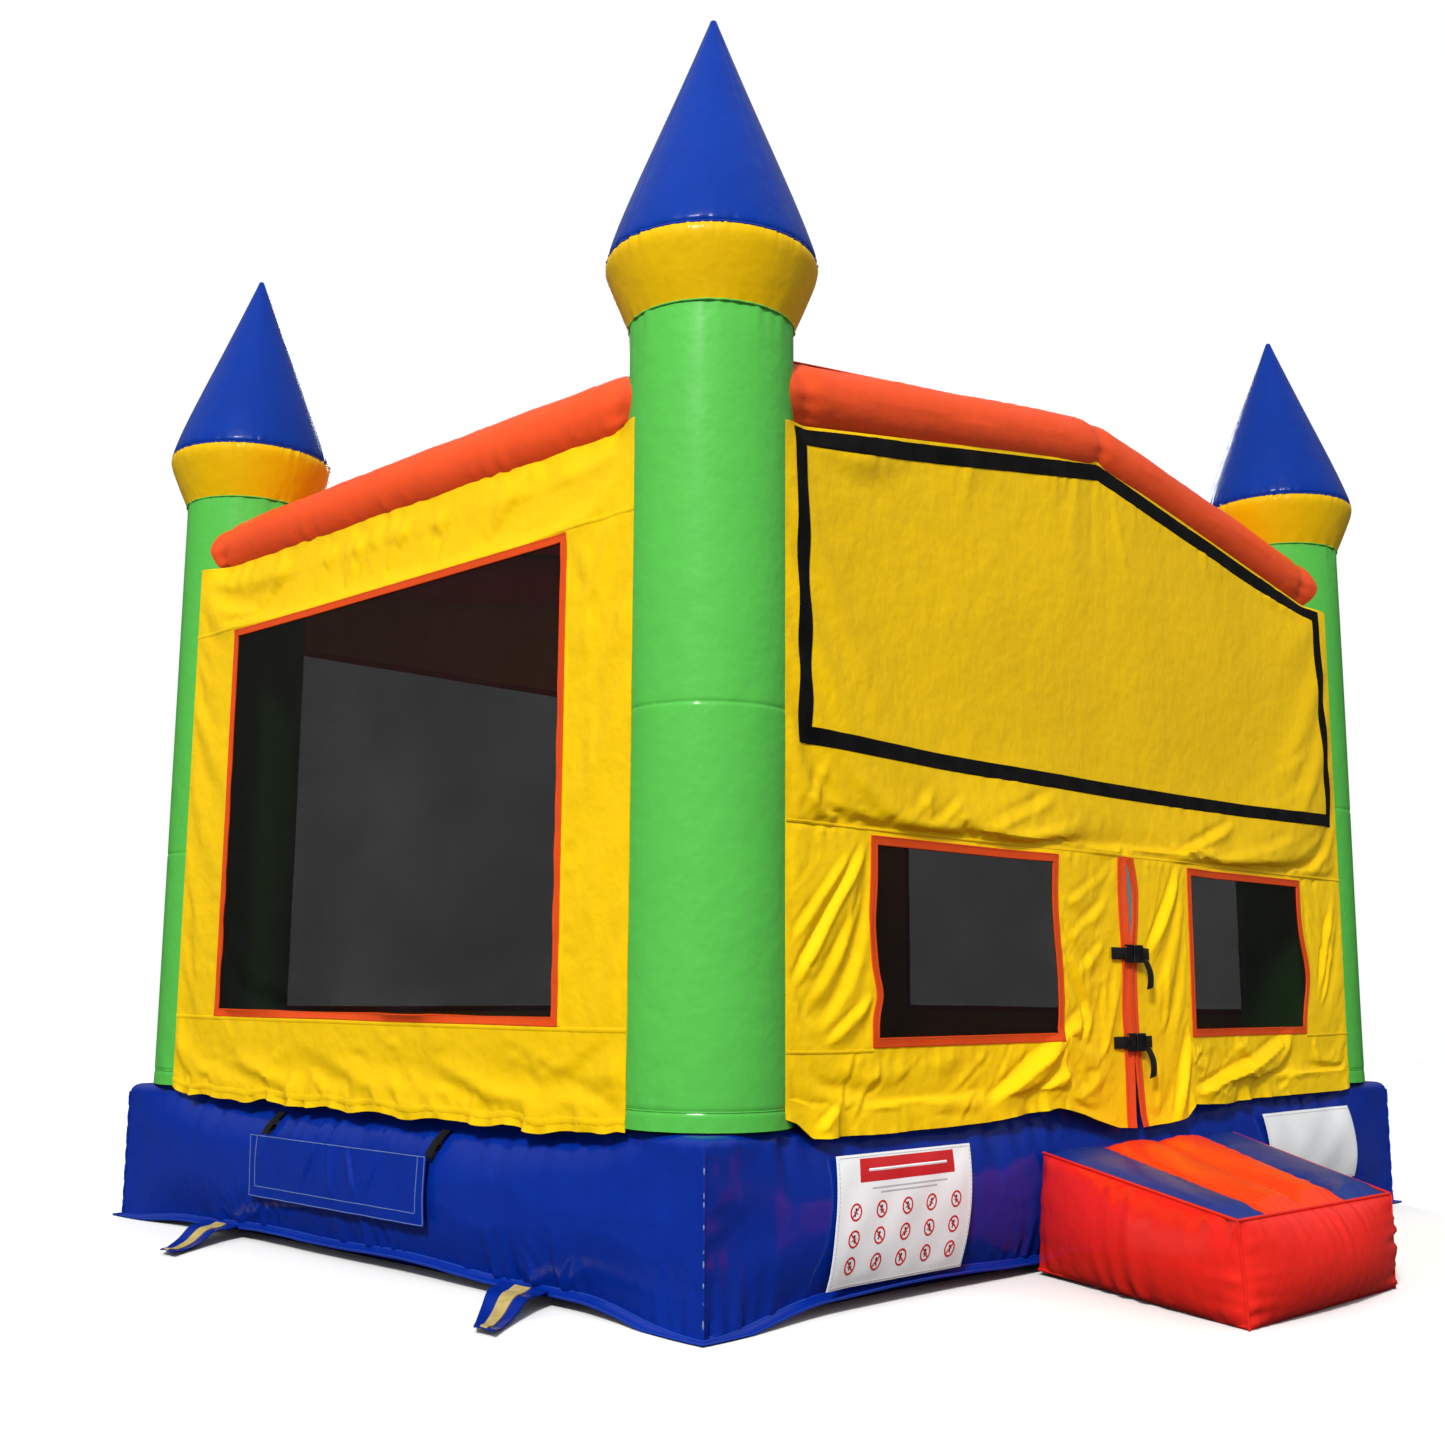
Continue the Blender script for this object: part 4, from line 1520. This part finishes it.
def build_step():
    low, high = box("step_chamber")
    back_y, front_y = high[1], low[1]
    back_left, back_right, back_top = -0.53, 0.70, 0.37
    front_left, front_right, front_top = -0.87, 0.01, 0.275
    lift = 0.012
    fl0, fr0 = (front_left, front_y + 0.012, 0.0), (front_right, front_y + 0.012, 0.0)
    fl1 = (front_left - 0.022, front_y + 0.02, front_top - 0.004)
    fr1 = (front_right + 0.028, front_y + 0.02, front_top - 0.010)
    bl0, br0 = (back_left - 0.028, back_y, lift), (back_right + 0.02, back_y, lift)
    bl1, br1 = (back_left + 0.01, back_y, back_top - 0.012), (back_right - 0.01, back_y, back_top - 0.02)
    out_left = unit(np.cross(np.array(fl0) - np.array(bl0), (0, 0, 1.0)) * -1)
    if out_left[0] > 0:
        out_left = -out_left
    out_right = unit(np.cross(np.array(fr0) - np.array(br0), (0, 0, 1.0)))
    if out_right[0] < 0:
        out_right = -out_right
    panels = [
        patch(bl0, fl0, fl1, bl1, 0.064, out_left, 500),
        patch(fr0, br0, br1, fr1, 0.064, out_right, 510),
        patch(fl0, fr0, fr1, fl1, 0.072, (0, -1, 0), 520),
    ]
    parts = []
    for grid in panels:
        parts.append((grid.reshape(-1, 3), grid_faces(*grid.shape[:2])))
    parts.append((np.array([bl0, br0, fr0, fl0]), [[0, 1, 2, 3]]))
    parts.append((np.array([bl0, br0, br1, bl1]), [[0, 1, 2, 3]]))
    t = np.linspace(0, 1, 60)[:, None]
    left_edge, right_edge = 0.27 - 0.08 * t, 0.79 - 0.10 * t
    s = np.concatenate([left_edge * np.linspace(0, 1, 17)[:-1],
                        left_edge + (right_edge - left_edge) * np.linspace(0, 1, 45)[:-1],
                        right_edge + (1 - right_edge) * np.linspace(0, 1, 17)], axis=1)
    t = t + 0 * s
    rows, cols = s.shape
    flat = between((bl1, br1, fr1, fl1), s, t)
    column = np.arange(cols)[None, :] + 0 * t
    wedge = np.where(column < 16, column / 16, np.where(column > 60, (76 - column) / 16, 0))
    inner = np.clip((column - 16) / 44, 0, 1) * 2
    inner = np.where(inner <= 1, inner, 2 - inner)
    tube = np.sqrt(np.clip(1 - (2 * inner - 1) ** 2, 0, 1))
    is_middle = (column >= 16) & (column <= 60)
    rise = np.where(is_middle, 0.024 * tube + 0.004, 0.020 * np.sin(math.pi * wedge) ** 0.6 + 0.004)
    ends = smooth(t / 0.07) * smooth((1 - t) / 0.10)
    sides = smooth(s / 0.04) * smooth((1 - s) / 0.04)
    rise = rise * ends * sides
    rise = rise + puckers(s * 1.05, (1 - t) * 0.87, 0.07, 0.006, 0.05, 531) * sides * smooth((1 - t) / 0.03)
    rise = rise + puckers(s * 1.05, t * 0.87, 0.07, 0.005, 0.04, 532) * sides * smooth(t / 0.03)
    for edge, seed in ((left_edge, 533), (right_edge, 534)):
        rise = rise + puckers(t * 0.87, np.abs(s - edge) * 1.05, 0.055, 0.0026, 0.03, seed) * ends
    top = flat + rise[..., None] * np.array((0, 0, 1.0))
    every = grid_faces(rows, cols)
    of_column = (column[:-1, :-1]).reshape(-1)
    blue = (of_column < 16) | (of_column >= 60)
    count = sum(len(part[1]) for part in parts)
    parts.append((top.reshape(-1, 3), every[~blue]))
    parts.append((top.reshape(-1, 3), every[blue]))
    step = piece("step_cover", welded(*join_parts(parts)), "red_cloth", replaces=("step_chamber",),
                 angle=55)
    for material in ("step_middle_cloth", "blue_wedge_cloth"):
        step.data.materials.append(MATERIALS[material])
    index = np.zeros(len(step.data.polygons), np.int32)
    index[count:] = 1
    index[count + int((~blue).sum()):] = 2
    step.data.polygons.foreach_set("material_index", index)
    parts = []
    outline = [bl0, fl0, fr0, br0]
    path = np.array(polyline3(outline, 0.02))
    path[:, 2] = np.maximum(path[:, 2] + 0.004, 0.006) + 0.004 * np.abs(np.sin(np.linspace(0, 9, len(path))))
    parts.append(closed_tube(sweep(path, 8, 0.0055)))
    flange = path.copy()
    way = unit(np.cross(np.gradient(path, axis=0), (0, 0, -1.0)))
    flange[:, :2] += way[:, :2] * 0.024
    flange[:, 2] = np.maximum(flange[:, 2] - 0.005, 0.0045)
    parts.append(closed_tube(sweep(flange, 8, 0.0038)))
    parts.append(strap((path + flange) / 2, unit(flange - path), 0.026, 0.003))
    for a, b in ((fl0, fl1), (fr0, fr1)):
        path = np.array(polyline3([a, b], 0.015))
        outward = np.array([np.sign(a[0] + 0.43) * 0.7, -0.7, 0])
        path = path + outward * 0.003
        parts.append(closed_tube(sweep(path, 8, 0.0040, up=(0.3, -1.0, 0.0))))
    piece("step_piping", parts, "red_cloth")
    rim = np.array(polyline3([bl1, fl1, fr1, br1], 0.02)) + np.array([0, 0, 0.003])
    piece("step_top_seam", closed_tube(sweep(rim, 8, 0.0045)), "red_cloth")


def polyline3(points, step):
    return polyline([tuple(map(float, p)) for p in points], step)


def welded(points, faces):
    """Merges points that coincide, so that panels which share an edge make one closed body."""
    key = np.round(points / 2e-5).astype(np.int64)
    _, first, index = np.unique(key, axis=0, return_index=True, return_inverse=True)
    index = index.reshape(-1)
    return points[first], [[int(index[i]) for i in face] for face in faces]


# ---------------------------------------------------------------- signs, vent, tabs, inlet
def panel_grid(low, high, axis, step):
    """Flat coordinates over a node's box, and how far along and up it they lie, from 0 to 1."""
    us, vs = lines([low[axis], high[axis]], step), lines([low[2], high[2]], step)
    u, v = np.meshgrid(us, vs)
    return us, vs, u, v, (u - low[axis]) / (high[axis] - low[axis]), (v - low[2]) / (high[2] - low[2])


def disc(surface, centre, radius, lift, sides=20, inner=0.0):
    """A thin disc, or a ring when inner is given, on a sheet."""
    angle = np.arange(sides) / sides * TAU
    rings = []
    for r, rise in ((inner, lift), (radius, lift), (radius, lift - 0.0008), (inner, lift - 0.0008)):
        u, v = centre[0] + r * np.cos(angle), centre[1] + r * np.sin(angle)
        rings.append(surface.at(u, v, np.full(sides, rise)))
    rings = np.stack(rings, 1)
    return loop_tube(rings)


def bar(surface, start, end, width, lift):
    return ribbon(surface, polyline([start, end], 0.01), width, lift, 0.0008, sides=(-1, 0, 1))


def sign_sheet(node, name, step, shear, stand_out):
    """A limp sign in front of the skirt. stand_out(u, v, s, t) is how far it stands off the face."""
    low, high = box(node)
    face = -box("safety_sign")[0][1]
    us, vs, u, v, s, t = panel_grid(low, high, 0, step)
    sheet = Sheet(us, vs, xyz(u + shear * t, -(face + stand_out(u, v, s, t)), v), (0, -1, 0))
    sheet.refine()
    cover = sheet.piece(name, whole, "white_print", "white_sheet", 0.0018, replaces=(node,))
    return sheet, low, high


def notice_bend(u, v, s, t):
    edge = np.minimum(np.minimum(s, 1 - s), np.minimum(t, 1 - t))
    d = 0.008 - 0.024 * np.abs(2 * t - 1) ** 2 + 0.010 * smooth((0.2 - s) / 0.2) * smooth((0.5 - t) / 0.5)
    return d + 0.002 * waves(u, v, 0.2, 600) * smooth(edge / 0.1)


def blank_bend(u, v, s, t):
    d = 0.010 - 0.022 * np.abs(2 * t - 1) ** 2 + 0.010 * smooth((s - 0.8) / 0.2) * (1 - t)
    return d + 0.0025 * waves(u, v, 0.25, 610)


def build_signs():
    sheet, low, high = sign_sheet("safety_sign", "notice_sheet", 0.012, 0.055, notice_bend)
    width, height = high[0] - low[0], high[2] - low[2]

    def at(a, b):
        return low[0] + a * width, low[2] + b * height

    border = [at(0.012, 0.02), at(0.988, 0.02), at(0.988, 0.98), at(0.012, 0.98), at(0.012, 0.02)]
    grey = [stitches(sheet, polyline(border), lift=0.0014)]
    for row, (a, b) in enumerate(((0.24, 0.80), (0.30, 0.72))):
        grey.append(bar(sheet, at(a, 0.735 - 0.035 * row), at(b, 0.735 - 0.035 * row), 0.005, 0.0007))
    heading = polyline([at(0.16, 0.875), at(0.86, 0.875)], 0.01)
    red = [ribbon(sheet, heading, 0.062, 0.0014, 0.0012, sides=(-1, -0.5, 0, 0.5, 1))]
    dark = []
    for row in range(3):
        for col in range(5):
            x, y = centre = at(0.13 + 0.185 * col, 0.57 - 0.20 * row)
            red.append(disc(sheet, centre, 0.0235, 0.0009, inner=0.0185))
            r, slant = 0.0150, 1 if (row + col) % 3 else -1
            red.append(bar(sheet, (x - r, y + r * slant), (x + r, y - r * slant), 0.005, 0.0011))
            dark.append(disc(sheet, (x, y + 0.007), 0.0042, 0.0006, 10))
            lean = 0.004 * ((row * 5 + col) % 3 - 1)
            dark.append(bar(sheet, (x, y + 0.002), (x + lean, y - 0.011), 0.006, 0.0006))
            dark.append(bar(sheet, (x - 0.009, y - 0.002 - lean), (x + 0.009, y - 0.002 + lean), 0.003, 0.0006))
    stripes = [bar(sheet, at(0.22, 0.875), at(0.80, 0.875), 0.010, 0.0030)]
    for name, group, material in (("notice_red", red, "red_print"), ("notice_dark", dark, "dark_print"),
                                  ("notice_grey", grey, "grey_print"), ("notice_bars", stripes, "white_print")):
        piece(name, group, material)
    sheet, low, high = sign_sheet("blank_sign", "blank_panel", 0.014, -0.02, blank_bend)
    border = rectangle(low[0] + 0.01, high[0] - 0.01, low[2] + 0.01, high[2] - 0.01)
    piece("blank_panel_stitches", stitches(sheet, polyline(border), lift=0.0014), "grey_print")


def dress_node(node, material):
    """Gives a CAD node that stays in sight its material."""
    slots = NODES[node].data.materials
    slots.clear()
    slots.append(MATERIALS[material])


def build_vent():
    low, high = box("deflation_flap")
    face = -high[0]
    us, vs, u, v, s, t = panel_grid(low, high, 1, 0.012)
    d = 0.005 * np.sin(math.pi * t) * np.sin(math.pi * s)
    d = d + 0.0020 * waves(u, v, 0.18, 620)
    d = d + puckers(u, high[2] - v, 0.05, 0.0028, 0.045, 621) * smooth((high[2] - v) / 0.01)
    d = folds(d, u, v, (
        (0.02, 0.36, -0.04, 0.22, 0.014, 0.010, 0.7), (0.12, 0.35, 0.10, 0.20, 0.014, 0.009, 0.7),
        (0.20, 0.36, 0.27, 0.24, 0.013, 0.010, 0.7), (-0.15, 0.34, -0.10, 0.24, 0.013, 0.006, 0.6),
    ))
    sheet = Sheet(us, vs, xyz(-(face + 0.004 + d), u, v), (-1, 0, 0))
    sheet.refine()
    cover = sheet.piece("vent_flap", whole, "blue_cloth", "blue_vinyl", 0.0026, body="vent_cover",
                        replaces=("deflation_flap",))
    parts = []
    for inset in (0.004, 0.040):
        rim = [(low[1] + inset, high[2] - 0.004), (low[1] + inset, low[2] + inset * 0.9),
               (high[1] - inset, low[2] + inset * 0.9), (high[1] - inset, high[2] - 0.004)]
        parts.append(stitches(sheet, polyline(rim), 0.009, 0.0078, 0.0018, 0.0016))
    rim = [(low[1] + 0.004, high[2] - 0.006), (high[1] - 0.004, high[2] - 0.006)]
    parts.append(stitches(sheet, polyline(rim), 0.009, 0.0078, 0.0020, 0.0016))
    piece("vent_flap_stitches", parts, "pale_thread", body="vent_cover")
    parts = []
    for y0, y1 in ((high[1] - 0.055, high[1] - 0.095), (low[1] + 0.01, low[1] - 0.022)):
        t = np.linspace(0, 1, 12)
        z = high[2] - 0.012 + 0.084 * t
        x = -(HALF_W + 0.0035 + 0.004 * np.sin(math.pi * t) - np.maximum(side_inset(z) - 0.014, 0.0))
        path = xyz(x, y0 + (y1 - y0) * t, z)
        parts.append(strap(path, (0, 1, 0), 0.040, 0.003))
        path = xyz(x - 0.0035, y0 + (y1 - y0) * t * 0.6 - 0.002, high[2] - 0.008 + 0.040 * t)
        parts.append(strap(path, (0, 1, 0.1), 0.030, 0.003))
    piece("vent_ties", parts, "black_strap")
    low, high = box("deflation_zipper")
    dress_node("deflation_zipper", "zip_tape")
    parts = []
    middle = (low[2] + high[2]) / 2
    pitch = 0.006
    for index, y in enumerate(np.arange(low[1] + 0.01, high[1] - 0.01, pitch)):
        shift = 0.0015 if index % 2 else -0.0015
        path = np.array([(low[0] - 0.0002, y, middle - 0.004 + shift), (low[0] - 0.0016, y + 0.001, middle + shift),
                         (low[0] - 0.0002, y + 0.002, middle + 0.004 + shift)])
        parts.append(closed_tube(sweep(path, 6, 0.0009, up=(1, 0, 0))))
    piece("zipper_teeth", parts, "black_moulding")


def build_tabs():
    for side_name, side in (("left", -1), ("right", 1)):
        for place_name in ("front", "back"):
            node = f"anchor_tab_{side_name}_{place_name}"
            low, high = box(node)
            root_y = -0.85 if place_name == "front" else 0.84
            reach = high[0] - low[0]
            us = np.linspace(0, 1, 30)
            vs = np.linspace(-1, 1, 13)
            u, v = np.meshgrid(us, vs)
            half = 0.105 + (0.042 - 0.105) * u ** 1.2
            y = root_y - 0.28 * u ** 1.25 + v * half
            x = side * (HALF_W - 0.018 + (reach + 0.022) * u)
            z = 0.0045 + 0.036 * np.exp(-(u / 0.16) ** 1.6) + 0.030 * np.exp(-((u - 0.30) / 0.2) ** 2)
            z = z + 0.010 * np.abs(v) ** 2.2 * np.sin(math.pi * np.clip(u, 0, 1)) + 0.004 * u * (1 - v * v)
            z = z + 0.012 * smooth((u - 0.8) / 0.2)
            sheet = Sheet(us, vs, xyz(x, y, z), (0, 0, 1))
            sheet.refine()
            cloth = tab_piece(sheet, node + "_cloth", (0, 1, -1, 1), "blue_cloth", "blue_vinyl", 0.0, (node,))
            webbing = tab_piece(sheet, node + "_webbing", (0.04, 1, -0.36, 0.36), "tan_strap", "black_webbing",
                                0.0026)
            for made in (cloth, webbing):
                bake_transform(made)


def tab_piece(sheet, name, window, material, slot, lift, nodes=()):
    """Part of an anchor tab, not yet on any body, since it bends between two."""
    low_u, high_u, low_v, high_v = window
    made = sheet.piece(name, lambda u, v: (u > low_u) & (u < high_u) & (v > low_v) & (v < high_v), material, slot,
                       CLOTH, lift, replaces=nodes)
    made.parent = None
    made.matrix_world = Matrix.Identity(4)
    if "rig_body" in made:
        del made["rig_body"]
    return made


def build_inlet():
    low, high = box("blower_inlet")
    centre = (low + high) / 2
    radius = (high[0] - low[0]) / 2
    rows = []
    angle = np.arange(96) / 96 * TAU
    length = np.linspace(0, 1, 26)
    for inner in (False, True):
        for t in (length if not inner else length[::-1]):
            y = low[1] - 0.012 + (high[1] - low[1] + 0.012) * t
            r = radius - 0.004 - 0.010 * np.exp(-((t - 0.62) / 0.06) ** 2) + 0.006 * t
            ripple = puckers(angle * radius, 0 * angle + (t - 0.62) * 0.12, 0.05, 0.005, 0.05, 700, TAU * radius)
            ripple = ripple + 0.004 * t * np.sin(5 * angle + 1)
            r = r + ripple - (0.003 if inner else 0)
            y = y + 0.004 * t * np.sin(3 * angle)
            rows.append(xyz(centre[0] + r * np.cos(angle), y, centre[2] + r * np.sin(angle)))
    sleeve = piece("inlet_sleeve_cover", loop_tube(np.stack(rows)), "blue_cloth",
                   replaces=("blower_inlet",))
    t = 0.62
    r = radius - 0.008 + puckers(angle * radius, 0 * angle, 0.05, 0.005, 0.05, 700, TAU * radius)
    y = low[1] - 0.012 + (high[1] - low[1] + 0.012) * t
    rings = []
    for a, b in ((-0.012, 0.0), (-0.012, 0.0024), (0.0, 0.003), (0.012, 0.0024), (0.012, 0.0)):
        rings.append(xyz(centre[0] + (r + b) * np.cos(angle), y + a, centre[2] + (r + b) * np.sin(angle)))
    piece("inlet_tie", loop_tube(np.stack(rings, 1)), "black_strap")


def build_hard_parts():
    for node in ("upper_buckle_socket", "lower_buckle_socket", "upper_buckle_tongue", "lower_buckle_tongue",
                 "zipper_slider"):
        dress_node(node, "black_moulding")


add_camera()
add_stage()
build_base()
build_towers()
build_roof()
build_walls()
build_sewing()
build_step()
build_signs()
build_vent()
build_tabs()
build_inlet()
build_hard_parts()
bpy.context.scene.view_settings.view_transform = "Standard"
